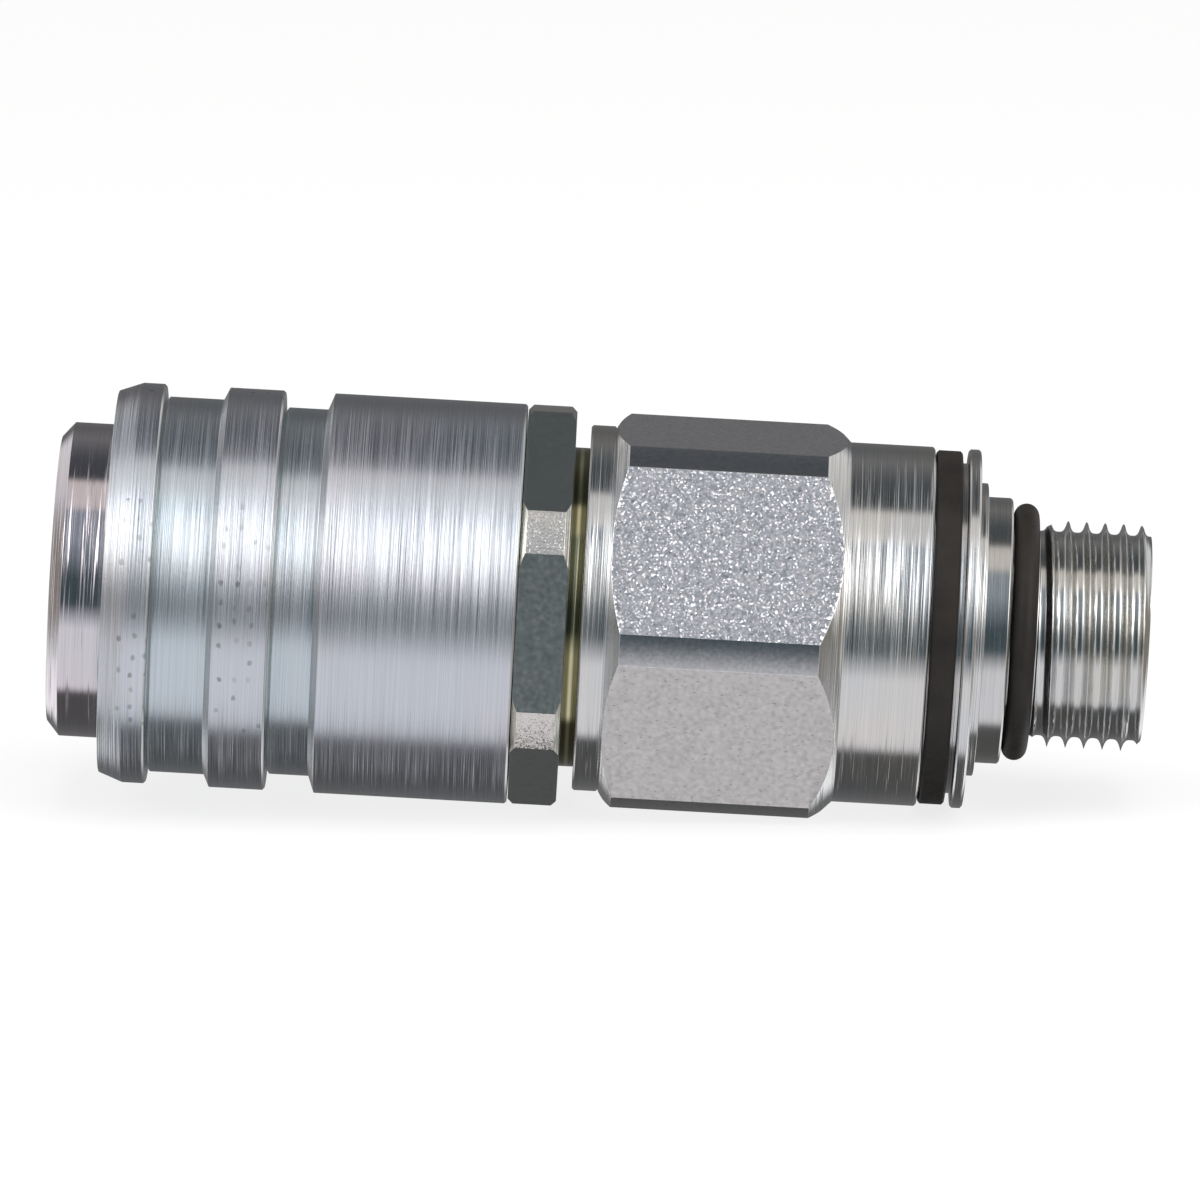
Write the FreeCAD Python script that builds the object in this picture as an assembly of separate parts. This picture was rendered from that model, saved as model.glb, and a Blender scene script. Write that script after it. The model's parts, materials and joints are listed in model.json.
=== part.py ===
import FreeCAD, Part
import math
import os

# Hydraulic quick coupler, socket half, with a sliding lock sleeve and a poppet valve.
# It lies along X: the mouth that takes the mating tip faces -X and the threaded port faces +X.
# The origin is on the axis, in the plane of the mouth, and x is the distance from that plane.
# All sizes are millimetres. Every turned piece is drawn as an outline of (x, radius) points.

# Driving sizes

# Fits and small gaps
sliding_fit = 0.05          # radial play of the sleeve on the body and of the valve stem
seat_gap = 0.05             # play left where a ball or the valve lies on its seat
ring_play = 0.02            # axial play of rings and washers in their places
thread_play = 0.05          # radial play of the body's spigot in the adapter
edge_break = 0.2            # small chamfer on turned edges

# Lock sleeve, from its front end to its rear end
sleeve_setback = 5.3        # distance of the sleeve's front face behind the mouth
sleeve_wall = 4.17          # metal between the sleeve's bore and its outside
front_flange_length = 4.6
front_flange_drop = 0.88    # how far its long front slant goes down
front_flange_taper = 2.35
finger_groove_length = 5.7
finger_groove_depth = 1.21
middle_flange_length = 6.0
middle_flange_slant = 0.55
narrow_groove_length = 4.25
narrow_groove_depth = 1.62
grip_length = 19.52
grip_slant = 0.6
notch_depth = 0.65          # undercut where a groove meets the flange in front of it
notch_length = 0.4
sleeve_travel = 5.0         # forward stroke that frees the balls
sleeve_rest_gap = 0.1       # play between the sleeve and the body's hexagon

# Socket body, from the mouth's bore outwards
mouth_r = 12.1
body_wall = 3.3             # metal between the mouth and the outside of the nose
nose_chamfer_length = 1.2
nose_chamfer_depth = 1.4
mouth_depth = 19.5
mouth_lead_in = 0.5
tip_bore_step = 1.8         # radius lost from the mouth to the tip bore
tip_bore_length = 8.0
step_chamfer = 0.6
body_hex_drop = 1.62        # from the sleeve's outside down to the flats
body_hex_length = 4.76
body_hex_turn = 2.45        # degrees from +Y to the first flat
body_hex_chamfer = 0.5
neck_rise = 0.25            # how far the neck stands above the nose
neck_length = 1.47
spigot_drop = 0.4           # and how far the spigot lies below the nose
spigot_length = 10.3

# Lock balls
ball_count = 8
ball_r = 4.7625 / 2
mouth_to_balls = 3.0        # from the end of the mouth's bore to the plane of the balls
ball_bore_step = 0.25       # radius lost from the mouth to the balls' bore
pocket_overrun = 1.0        # how far the pocket's drill passes the outside
ball_wall_behind = 4.0      # body left between the ball plane and the tip bore
ramp_slope = 0.27           # rise of the sleeve's inside for each millimetre of stroke

# Sleeve spring with its washer and snap ring
spring_room = 1.8           # room for the spring between the body and the sleeve
shoulder_to_balls = 3.0
sleeve_wire = 1.4
sleeve_coils = 3.5
washer_thickness = 1.0
snap_ring_thickness = 1.0
snap_ring_x = 7.05
snap_ring_depth = 0.9
snap_ring_rise = 1.0
snap_ring_gap_angle = 24.0

# Seals in the tip bore
tip_groove_offset = 2.1     # from the start of the tip bore
tip_groove_depth = 2.0
tip_seal_section = 2.1
tip_seal_stand = 0.2        # how far the seal stands into the bore
tip_backup_thickness = 1.1

# Valve
valve_seat_width = 4.0      # radius lost from the chamber to the throat
throat_length = 3.0
poppet_travel = 5.5
poppet_nose_room = 2.9      # ring of oil between the throat and the nose
poppet_nose_reach = 5.8     # nose in front of the valve's cone
poppet_cone_reach = 0.7     # how far the cone goes into the throat
poppet_front_width = 1.4    # metal cone in front of the seal
poppet_seal_width = 1.8
poppet_seal_drop = 0.6      # floor of the seal's groove below the throat
poppet_flange_width = 1.6
poppet_boss_length = 2.0
stem_r = 2.6
stem_reach = 0.5            # how far the stem shows behind its guide
poppet_wire = 1.8
poppet_spring_inset = 4.1   # middle of the spring's wire inside the chamber wall
poppet_coils = 4.0

# Valve guide and its snap ring
spigot_wall = 2.8           # metal between the guide's bore and the spigot's outside
guide_seat_step = 0.7       # shoulder that the guide sits on
guide_depth = 5.5           # from the end of the spigot to the guide's seat
guide_rim_length = 2.5
guide_rim_wall = 2.75
guide_hub_wall = 1.95
guide_hub_length = 7.0
guide_arm_count = 4
guide_arm_width = 2.4
guide_ring_thickness = 1.0
guide_ring_depth = 0.7
guide_ring_reach = 1.2      # how far the ring stands in front of the guide's rim
guide_ring_gap_angle = 40.0

# Seals between the body and the adapter
body_groove_offset = 1.5    # from the adapter's front face
body_groove_depth = 1.7
body_backup_thickness = 1.1

# Port adapter, from its front face to its threaded end
collar_wall = 2.88          # metal round the body's spigot
collar_length = 2.55
adapter_hex_turn = 30.0     # degrees from +Y to the first flat, so that one flat faces down
adapter_hex_corner_rise = 1.95  # corners above the flats, which take the body's spanner
adapter_hex_length = 22.95
adapter_hex_front_taper = 1.3
adapter_hex_rear_taper = 2.3
barrel_drop = 0.36          # turned below the flats
barrel_length = 8.24
collar_groove_length = 3.34
collar_groove_depth = 1.44
rim_drop = 0.03             # below the barrel
rim_length = 1.18
step_rise = 1.32            # above the seat collar
step_length = 0.88
seat_rise = 1.94            # above the thread
seat_length = 2.5
undercut_depth = 1.01       # below the thread's outside
undercut_length = 3.29
thread_r = 11.11
thread_length = 10.44
thread_chamfer = 1.0
spigot_end_gap = 1.0
adapter_chamber_step = 0.5  # radius lost from the body's chamber to the adapter's
adapter_chamber_length = 9.0
port_bore_r = 7.25
port_bore_chamfer = 0.5
drill_point_angle = 59.0    # half the angle of the cone between chamber and bore

# Seals on the outside of the adapter
collar_seal_drop = 0.28     # below the barrel
collar_seal_width = 2.51
collar_seal_offset = 0.2
port_ring_section = 2.46
port_ring_gap = 0.2         # from the seat collar

# Places that follow from the sizes

# Radii, from the mouth's bore outwards and then inwards to the valve
body_r = mouth_r + body_wall
nose_face_r = body_r - nose_chamfer_depth
neck_r = body_r + neck_rise
spigot_r = body_r - spigot_drop
sleeve_bore_r = body_r + sliding_fit
sleeve_r = sleeve_bore_r + sleeve_wall
front_flange_edge_r = sleeve_r - front_flange_drop
finger_groove_r = sleeve_r - finger_groove_depth
narrow_groove_r = sleeve_r - narrow_groove_depth
spring_chamber_r = body_r + spring_room
hex_flats = 2 * (sleeve_r - body_hex_drop)
ball_bore_r = mouth_r - ball_bore_step
tip_bore_r = mouth_r - tip_bore_step
guide_bore_r = spigot_r - spigot_wall
chamber_r = guide_bore_r - guide_seat_step
throat_r = chamber_r - valve_seat_width
poppet_nose_r = throat_r - poppet_nose_room
poppet_seal_floor_r = throat_r - poppet_seal_drop
poppet_spring_r = chamber_r - poppet_spring_inset
guide_hub_r = stem_r + sliding_fit + guide_hub_wall

# Radii of the adapter
spigot_bore_r = spigot_r + thread_play
collar_r = spigot_bore_r + collar_wall
adapter_hex_corner_r = hex_flats / 2 + adapter_hex_corner_rise
barrel_r = hex_flats / 2 - barrel_drop
collar_groove_r = barrel_r - collar_groove_depth
collar_seal_r = barrel_r - collar_seal_drop
rim_r = barrel_r - rim_drop
seat_r = thread_r + seat_rise
step_r = seat_r + step_rise
undercut_r = thread_r - undercut_depth
adapter_chamber_r = chamber_r - adapter_chamber_step

# Sleeve stations
front_flange_end = sleeve_setback + front_flange_length
finger_groove_end = front_flange_end + finger_groove_length
middle_flange_end = finger_groove_end + middle_flange_length
narrow_groove_end = middle_flange_end + narrow_groove_length
sleeve_end = narrow_groove_end + grip_length

# Body stations
body_hex_x = sleeve_end + sleeve_rest_gap
neck_x = body_hex_x + body_hex_length
adapter_x = neck_x + neck_length
spigot_end = adapter_x + spigot_length

# The balls lie flush with the outside of the body while the sleeve holds them in
ball_plane_x = mouth_depth + mouth_to_balls
ball_ring_r = body_r - ball_r
ball_pocket_r = ball_r + seat_gap
ramp_r = ball_ring_r + ball_pocket_r * math.hypot(1.0, ramp_slope)

# Front pack: snap ring, washer, spring, sleeve shoulder
washer_x = snap_ring_x + snap_ring_thickness + ring_play
sleeve_spring_x = washer_x + washer_thickness
shoulder_x = ball_plane_x - shoulder_to_balls
sleeve_spring_r = (body_r + spring_chamber_r) / 2

# Tip bore and its groove
tip_bore_x = ball_plane_x + ball_wall_behind
tip_bore_end = tip_bore_x + tip_bore_length
tip_groove_x = tip_bore_x + tip_groove_offset
tip_groove_length = tip_seal_section + tip_backup_thickness + 3 * ring_play
tip_groove_r = tip_bore_r + tip_groove_depth
tip_backup_x = tip_groove_x + tip_seal_section + 2 * ring_play

# The valve seat is a 45 degree cone between the throat and the chamber
seat_x = tip_bore_end + throat_length
seat_end = seat_x + chamber_r - throat_r
cone_offset = throat_r - seat_x - seat_gap * math.sqrt(2.0)
poppet_cone_x = seat_x - seat_gap * math.sqrt(2.0) - poppet_cone_reach
poppet_seal_x = poppet_cone_x + poppet_front_width
poppet_flange_x = poppet_seal_x + poppet_seal_width
poppet_flange_end = poppet_flange_x + poppet_flange_width

# Valve guide
guide_x = spigot_end - guide_depth
guide_rim_end = guide_x + guide_rim_length
guide_hub_end = guide_x + guide_hub_length
guide_ring_x = guide_rim_end + ring_play
stem_end = guide_hub_end + stem_reach

# Seals on the spigot
body_groove_x = adapter_x + body_groove_offset
body_groove_r = spigot_r - body_groove_depth
body_seal_section = spigot_bore_r - body_groove_r - 2 * ring_play
body_groove_length = body_seal_section + body_backup_thickness + 3 * ring_play
body_backup_x = body_groove_x + body_seal_section + 2 * ring_play

# Adapter stations
adapter_hex_x = adapter_x + collar_length
barrel_x = adapter_hex_x + adapter_hex_length
collar_groove_x = barrel_x + barrel_length
rim_x = collar_groove_x + collar_groove_length
step_x = rim_x + rim_length
seat_collar_x = step_x + step_length
undercut_x = seat_collar_x + seat_length
thread_x = undercut_x + undercut_length
port_end = thread_x + thread_length
adapter_shoulder = spigot_end + spigot_end_gap
adapter_chamber_end = adapter_shoulder + adapter_chamber_length
drill_point_length = (adapter_chamber_r - port_bore_r) / math.tan(math.radians(drill_point_angle))

AXIS = FreeCAD.Vector(1, 0, 0)
ORIGIN = FreeCAD.Vector(0, 0, 0)


def turned(outline, angle=360.0):
    """Solid turned about the axis from an outline of (x, radius) points."""
    corners = [FreeCAD.Vector(x, 0, r) for x, r in outline]
    face = Part.Face(Part.makePolygon(corners + corners[:1]))
    return face.revolve(ORIGIN, AXIS, angle)


def ring(x0, x1, inner_r, outer_r, chamfer=0.0):
    """Flat ring, its outer edges broken by the chamfer."""
    if chamfer <= 0:
        return turned([(x0, inner_r), (x0, outer_r), (x1, outer_r), (x1, inner_r)])
    return turned(
        [
            (x0, inner_r),
            (x0, outer_r - chamfer),
            (x0 + chamfer, outer_r),
            (x1 - chamfer, outer_r),
            (x1, outer_r - chamfer),
            (x1, inner_r),
        ]
    )


def round_ring(x, centre_r, section):
    """O-ring of round section, centred on the axis."""
    return Part.makeTorus(centre_r, section / 2, FreeCAD.Vector(x, 0, 0), AXIS)


def snap_ring(x, inner_r, outer_r, thickness, gap_angle):
    """Open retaining ring, its gap facing up."""
    outline = [(x, inner_r), (x, outer_r), (x + thickness, outer_r), (x + thickness, inner_r)]
    open_ring = turned(outline, 360.0 - gap_angle)
    open_ring.rotate(ORIGIN, AXIS, gap_angle / 2)
    return open_ring


def hexagon(x0, x1, across_flats, turn):
    """Hexagonal bar along the axis, its first flat turned from +Y towards +Z."""
    corner_r = across_flats / math.sqrt(3.0)
    corners = []
    for k in range(6):
        angle = math.radians(turn + 30.0 + 60.0 * k)
        corners.append(FreeCAD.Vector(x0, corner_r * math.cos(angle), corner_r * math.sin(angle)))
    face = Part.Face(Part.makePolygon(corners + corners[:1]))
    return face.extrude(FreeCAD.Vector(x1 - x0, 0, 0))


def helical_spring(x0, x1, mean_r, wire, coils):
    """Wire wound between two faces, its ends ground flat where they seat."""
    length = x1 - x0
    path = Part.Wire(Part.makeHelix(length / coils, length, mean_r).Edges)
    section = Part.Wire(
        Part.makeCircle(wire / 2, FreeCAD.Vector(mean_r, 0, 0), FreeCAD.Vector(0, 1, 0))
    )
    wound = path.makePipeShell([section], True, True)
    room = Part.makeCylinder(mean_r + wire, length)
    ground = wound.common(room).Solids[0]
    ground.rotate(ORIGIN, FreeCAD.Vector(0, 1, 0), 90)
    ground.translate(FreeCAD.Vector(x0, 0, 0))
    return ground


def ball_direction(k):
    """Unit vector from the axis through ball number k, the first one on top."""
    angle = math.radians(90.0 + 360.0 * k / ball_count)
    return FreeCAD.Vector(0, math.cos(angle), math.sin(angle))


def ball_centre(k):
    return FreeCAD.Vector(ball_plane_x, 0, 0) + ball_direction(k) * ball_ring_r


def ball_pocket(k):
    """Radial hole whose round bottom keeps the ball from falling into the mouth."""
    centre = ball_centre(k)
    bottom = Part.makeSphere(ball_pocket_r, centre)
    well = Part.makeCylinder(ball_pocket_r, ball_r + pocket_overrun, centre, ball_direction(k))
    return bottom.fuse(well)


def lock_ball(k):
    return Part.makeSphere(ball_r, ball_centre(k))


def body_hex():
    """Hexagon of the body, its corners turned down to the radius of the sleeve."""
    inner_r = (chamber_r + body_r) / 2
    envelope = ring(body_hex_x, neck_x, inner_r, sleeve_r, body_hex_chamfer)
    return hexagon(body_hex_x, neck_x, hex_flats, body_hex_turn).common(envelope)


def socket_body():
    outside = [
        (0.0, mouth_r + mouth_lead_in),
        (0.0, nose_face_r),
        (nose_chamfer_length, body_r),
        (snap_ring_x, body_r),
        (snap_ring_x, body_r - snap_ring_depth),
        (snap_ring_x + snap_ring_thickness + 5 * ring_play, body_r - snap_ring_depth),
        (snap_ring_x + snap_ring_thickness + 5 * ring_play, body_r),
        (neck_x, body_r),
        (neck_x, neck_r),
        (adapter_x, neck_r),
        (adapter_x, spigot_r),
        (body_groove_x, spigot_r),
        (body_groove_x, body_groove_r),
        (body_groove_x + body_groove_length, body_groove_r),
        (body_groove_x + body_groove_length, spigot_r),
        (spigot_end - 2 * edge_break, spigot_r),
        (spigot_end, spigot_r - 2 * edge_break),
    ]
    guide_end = [
        (spigot_end, guide_bore_r),
        (guide_ring_x + guide_ring_thickness + ring_play, guide_bore_r),
        (guide_ring_x + guide_ring_thickness + ring_play, guide_bore_r + guide_ring_depth),
        (guide_ring_x - ring_play, guide_bore_r + guide_ring_depth),
        (guide_ring_x - ring_play, guide_bore_r),
        (guide_x, guide_bore_r),
        (guide_x, chamber_r),
        (seat_end, chamber_r),
        (seat_x, throat_r),
    ]
    tip_end = [
        (tip_bore_end + edge_break, throat_r),
        (tip_bore_end, throat_r + edge_break),
        (tip_bore_end, tip_bore_r),
        (tip_groove_x + tip_groove_length, tip_bore_r),
        (tip_groove_x + tip_groove_length, tip_groove_r),
        (tip_groove_x, tip_groove_r),
        (tip_groove_x, tip_bore_r),
        (tip_bore_x + step_chamfer, tip_bore_r),
        (tip_bore_x, tip_bore_r + step_chamfer),
        (tip_bore_x, ball_bore_r),
        (mouth_depth + mouth_r - ball_bore_r, ball_bore_r),
        (mouth_depth, mouth_r),
        (mouth_lead_in, mouth_r),
    ]
    body = turned(outside + guide_end + tip_end).fuse(body_hex())
    for k in range(ball_count):
        body = body.cut(ball_pocket(k))
    return body.removeSplitter()


def lock_sleeve():
    outside = [
        (sleeve_setback, front_flange_edge_r),
        (sleeve_setback + front_flange_taper, sleeve_r),
        (front_flange_end - edge_break, sleeve_r),
        (front_flange_end, sleeve_r - edge_break),
        (front_flange_end, finger_groove_r - notch_depth),
        (front_flange_end + notch_length, finger_groove_r),
        (finger_groove_end, finger_groove_r),
        (finger_groove_end + middle_flange_slant, sleeve_r),
        (middle_flange_end - edge_break, sleeve_r),
        (middle_flange_end, sleeve_r - edge_break),
        (middle_flange_end, narrow_groove_r - notch_depth),
        (middle_flange_end + notch_length, narrow_groove_r),
        (narrow_groove_end, narrow_groove_r),
        (narrow_groove_end + grip_slant, sleeve_r),
        (sleeve_end - edge_break, sleeve_r),
        (sleeve_end, sleeve_r - edge_break),
    ]
    recess_start = ball_plane_x + sleeve_travel + ball_pocket_r * ramp_slope
    recess_end = ball_plane_x + sleeve_travel + ball_pocket_r + seat_gap
    recess_r = ramp_r + ramp_slope * (recess_start - ball_plane_x)
    ramp_start = ball_plane_x - (ramp_r - sleeve_bore_r) / ramp_slope
    inside = [
        (sleeve_end, sleeve_bore_r + edge_break),
        (sleeve_end - edge_break, sleeve_bore_r),
        (recess_end + recess_r - sleeve_bore_r, sleeve_bore_r),
        (recess_end, recess_r),
        (recess_start, recess_r),
        (ramp_start, sleeve_bore_r),
        (shoulder_x, sleeve_bore_r),
        (shoulder_x, spring_chamber_r),
        (sleeve_setback + edge_break, spring_chamber_r),
        (sleeve_setback, spring_chamber_r + edge_break),
    ]
    return turned(outside + inside)


def sleeve_snap_ring():
    floor_r = body_r - snap_ring_depth
    return snap_ring(
        snap_ring_x, floor_r, body_r + snap_ring_rise, snap_ring_thickness, snap_ring_gap_angle
    )


def sleeve_washer():
    washer_end = washer_x + washer_thickness
    return ring(washer_x, washer_end, sleeve_bore_r, spring_chamber_r - 2 * sliding_fit)


def sleeve_spring():
    return helical_spring(sleeve_spring_x, shoulder_x, sleeve_spring_r, sleeve_wire, sleeve_coils)


def tip_seal():
    centre_r = tip_bore_r - tip_seal_stand + tip_seal_section / 2
    return round_ring(tip_groove_x + ring_play + tip_seal_section / 2, centre_r, tip_seal_section)


def tip_backup_ring():
    backup_end = tip_backup_x + tip_backup_thickness
    return ring(tip_backup_x, backup_end, tip_bore_r + sliding_fit, tip_groove_r - ring_play)


def cone_r(x):
    """Radius of the valve's cone, which lies just off the seat."""
    return x + cone_offset


def valve_poppet():
    spring_inner_r = poppet_spring_r - poppet_wire / 2
    boss_r = spring_inner_r - 4 * sliding_fit
    boss_end = poppet_flange_end + poppet_boss_length
    nose_x = poppet_cone_x - poppet_nose_reach
    return turned(
        [
            (nose_x, 0.0),
            (nose_x, poppet_nose_r - 4 * edge_break),
            (nose_x + 4 * edge_break, poppet_nose_r),
            (poppet_cone_x, poppet_nose_r),
            (poppet_cone_x, cone_r(poppet_cone_x)),
            (poppet_seal_x, cone_r(poppet_seal_x)),
            (poppet_seal_x, poppet_seal_floor_r),
            (poppet_flange_x, poppet_seal_floor_r),
            (poppet_flange_x, cone_r(poppet_flange_x)),
            (poppet_flange_end - edge_break, cone_r(poppet_flange_x)),
            (poppet_flange_end, cone_r(poppet_flange_x) - edge_break),
            (poppet_flange_end, boss_r),
            (boss_end - 2 * edge_break, boss_r),
            (boss_end, boss_r - 2 * edge_break),
            (boss_end, stem_r),
            (stem_end - edge_break, stem_r),
            (stem_end, stem_r - edge_break),
            (stem_end, 0.0),
        ]
    )


def poppet_seal():
    return turned(
        [
            (poppet_seal_x, poppet_seal_floor_r),
            (poppet_seal_x, cone_r(poppet_seal_x)),
            (poppet_flange_x, cone_r(poppet_flange_x)),
            (poppet_flange_x, poppet_seal_floor_r),
        ]
    )


def poppet_spring():
    return helical_spring(poppet_flange_end, guide_x, poppet_spring_r, poppet_wire, poppet_coils)


def valve_guide():
    """Spider that centres the valve stem and lets oil past its arms."""
    rim_outer_r = guide_bore_r - sliding_fit
    rim_inner_r = guide_bore_r - guide_rim_wall
    rim = ring(guide_x, guide_rim_end, rim_inner_r, rim_outer_r)
    hub_inner_r = stem_r + sliding_fit
    hub = turned(
        [
            (guide_x, hub_inner_r),
            (guide_x, guide_hub_r),
            (guide_hub_end - 2 * edge_break, guide_hub_r),
            (guide_hub_end, guide_hub_r - 2 * edge_break),
            (guide_hub_end, hub_inner_r),
        ]
    )
    guide = rim.fuse(hub)
    arm_start = (hub_inner_r + guide_hub_r) / 2
    arm_end = (rim_inner_r + rim_outer_r) / 2
    for k in range(guide_arm_count):
        arm = Part.makeBox(
            guide_rim_length,
            guide_arm_width,
            arm_end - arm_start,
            FreeCAD.Vector(guide_x, -guide_arm_width / 2, arm_start),
        )
        arm.rotate(ORIGIN, AXIS, 360.0 * k / guide_arm_count)
        guide = guide.fuse(arm)
    return guide.removeSplitter()


def guide_snap_ring():
    outer_r = guide_bore_r + guide_ring_depth - ring_play
    inner_r = guide_bore_r - guide_ring_reach
    return snap_ring(guide_ring_x, inner_r, outer_r, guide_ring_thickness, guide_ring_gap_angle)


def adapter_hex():
    """Hexagon of the adapter, its corners turned down and tapered at both ends."""
    inner_r = (spigot_bore_r + barrel_r) / 2
    envelope = turned(
        [
            (adapter_hex_x, inner_r),
            (adapter_hex_x, collar_r),
            (adapter_hex_x + adapter_hex_front_taper, adapter_hex_corner_r),
            (barrel_x - adapter_hex_rear_taper, adapter_hex_corner_r),
            (barrel_x, barrel_r),
            (barrel_x, inner_r),
        ]
    )
    return hexagon(adapter_hex_x, barrel_x, hex_flats, adapter_hex_turn).common(envelope)


def port_adapter():
    outside = [
        (adapter_x, collar_r - edge_break),
        (adapter_x + edge_break, collar_r),
        (adapter_hex_x - edge_break, collar_r),
        (adapter_hex_x, collar_r - edge_break),
        (adapter_hex_x, barrel_r),
        (collar_groove_x - edge_break, barrel_r),
        (collar_groove_x, barrel_r - edge_break),
        (collar_groove_x, collar_groove_r),
        (rim_x, collar_groove_r),
        (rim_x, rim_r - edge_break),
        (rim_x + edge_break, rim_r),
        (step_x - edge_break, rim_r),
        (step_x, rim_r - edge_break),
        (step_x, step_r),
        (seat_collar_x, step_r),
        (seat_collar_x, seat_r),
        (undercut_x - edge_break, seat_r),
        (undercut_x, seat_r - edge_break),
        (undercut_x, undercut_r),
        (thread_x - (thread_r - undercut_r) / 2, undercut_r),
        (thread_x, thread_r),
        (port_end - thread_chamfer, thread_r),
        (port_end, thread_r - thread_chamfer),
    ]
    inside = [
        (port_end, port_bore_r + port_bore_chamfer),
        (port_end - port_bore_chamfer, port_bore_r),
        (adapter_chamber_end + drill_point_length, port_bore_r),
        (adapter_chamber_end, adapter_chamber_r),
        (adapter_shoulder, adapter_chamber_r),
        (adapter_shoulder, spigot_bore_r),
        (adapter_x, spigot_bore_r),
    ]
    return turned(outside + inside).fuse(adapter_hex()).removeSplitter()


def body_o_ring():
    centre_r = (body_groove_r + spigot_bore_r) / 2
    return round_ring(body_groove_x + ring_play + body_seal_section / 2, centre_r, body_seal_section)


def body_backup_ring():
    backup_end = body_backup_x + body_backup_thickness
    return ring(body_backup_x, backup_end, body_groove_r + ring_play, spigot_bore_r - ring_play)


def collar_seal():
    seal_x = collar_groove_x + collar_seal_offset
    return ring(
        seal_x, seal_x + collar_seal_width, collar_groove_r + ring_play, collar_seal_r, edge_break
    )


def port_o_ring():
    centre_r = undercut_r + sliding_fit + port_ring_section / 2
    ring_x = undercut_x + port_ring_gap + port_ring_section / 2
    return round_ring(ring_x, centre_r, port_ring_section)


nodes = {
    "socket_body": socket_body,
    "lock_sleeve": lock_sleeve,
    "sleeve_spring": sleeve_spring,
    "sleeve_washer": sleeve_washer,
    "sleeve_snap_ring": sleeve_snap_ring,
    "tip_seal": tip_seal,
    "tip_backup_ring": tip_backup_ring,
    "valve_poppet": valve_poppet,
    "poppet_seal": poppet_seal,
    "poppet_spring": poppet_spring,
    "valve_guide": valve_guide,
    "guide_snap_ring": guide_snap_ring,
    "port_adapter": port_adapter,
    "body_o_ring": body_o_ring,
    "body_backup_ring": body_backup_ring,
    "collar_seal": collar_seal,
    "port_o_ring": port_o_ring,
}

os.makedirs("parts", exist_ok=True)
for name, make in nodes.items():
    make().exportStep("parts/" + name + ".step")
for number in range(ball_count):
    lock_ball(number).exportStep("parts/lock_ball_" + str(number + 1) + ".step")
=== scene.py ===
# %% [markdown]
# # A hydraulic quick coupler in turned and plated steel
# This lesson dresses a measured model of a quick coupler: a sliding lock sleeve, the body behind it,
# and a port adapter with a big hexagon, two black seals and a threaded port. The model gives every
# size. Blender gives what makes metal read as metal: broken edges, lines left by the lathe, the
# grainy skin of the bar, thin tints in the zinc, and a studio for the steel to mirror.

# %% [markdown]
# ## Load the measured frame
# The frame holds each piece at its real place, in metres, with X along the axis from the mouth to
# the port. Nothing here moves it. A piece either wears a better material or is rebuilt with finer
# edges on the same sizes.

# %% Load the frame
import json
import math

import bmesh
import bpy
from mathutils import Matrix, Vector

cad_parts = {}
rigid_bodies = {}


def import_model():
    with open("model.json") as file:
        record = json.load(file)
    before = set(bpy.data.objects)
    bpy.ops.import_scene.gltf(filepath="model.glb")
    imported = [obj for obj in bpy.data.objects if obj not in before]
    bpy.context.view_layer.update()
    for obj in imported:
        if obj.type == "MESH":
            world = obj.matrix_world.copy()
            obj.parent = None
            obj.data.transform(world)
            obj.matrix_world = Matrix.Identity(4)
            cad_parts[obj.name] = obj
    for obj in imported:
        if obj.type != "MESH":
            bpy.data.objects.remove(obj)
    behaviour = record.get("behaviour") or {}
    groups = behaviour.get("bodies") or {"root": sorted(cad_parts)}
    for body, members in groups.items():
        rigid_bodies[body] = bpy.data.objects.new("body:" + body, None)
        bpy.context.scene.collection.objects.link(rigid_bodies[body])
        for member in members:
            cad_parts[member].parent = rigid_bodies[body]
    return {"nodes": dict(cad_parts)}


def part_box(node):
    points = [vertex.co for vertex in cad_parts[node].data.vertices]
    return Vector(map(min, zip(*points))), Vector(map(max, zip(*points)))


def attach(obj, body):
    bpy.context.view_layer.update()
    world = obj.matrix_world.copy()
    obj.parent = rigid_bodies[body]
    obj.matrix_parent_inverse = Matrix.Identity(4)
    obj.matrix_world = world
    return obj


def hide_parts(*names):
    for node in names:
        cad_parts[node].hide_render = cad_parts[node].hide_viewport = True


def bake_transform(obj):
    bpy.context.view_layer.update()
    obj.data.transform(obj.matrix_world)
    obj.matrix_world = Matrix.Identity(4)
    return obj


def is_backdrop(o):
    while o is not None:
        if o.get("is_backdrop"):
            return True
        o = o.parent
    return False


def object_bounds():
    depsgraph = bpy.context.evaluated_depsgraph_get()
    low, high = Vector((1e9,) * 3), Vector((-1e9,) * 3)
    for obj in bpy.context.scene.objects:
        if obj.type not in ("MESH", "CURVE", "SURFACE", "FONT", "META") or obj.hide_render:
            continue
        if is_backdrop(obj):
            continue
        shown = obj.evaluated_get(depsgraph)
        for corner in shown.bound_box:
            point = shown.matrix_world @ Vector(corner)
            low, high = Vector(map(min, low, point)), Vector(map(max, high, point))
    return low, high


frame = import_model()
cad_low, cad_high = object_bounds()
print("nodes:", len(frame["nodes"]), "box in mm:", [round(v * 1000, 2) for v in cad_high - cad_low])

# %% [markdown]
# ## Outlines and how they are turned
# Almost every piece here was made on a lathe, so it is an outline of (x, radius) points turned
# about X. A real edge is never perfectly sharp: even a fine edge is broken by a tenth of a
# millimetre, and that tiny round is what catches the light. Rounding the outline before it is
# turned puts the round into the mesh itself, which is cleaner than bevelling it later.

# %% Outline helpers
MM = 0.001
EDGE_ROUND = 0.10           # radius of an ordinary broken edge, in millimetres
ROUND_STEPS = 3
SEGMENTS = 240              # steps around a turned piece
SOFT_TURN = 8               # degrees of turn that need no rounding


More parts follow.
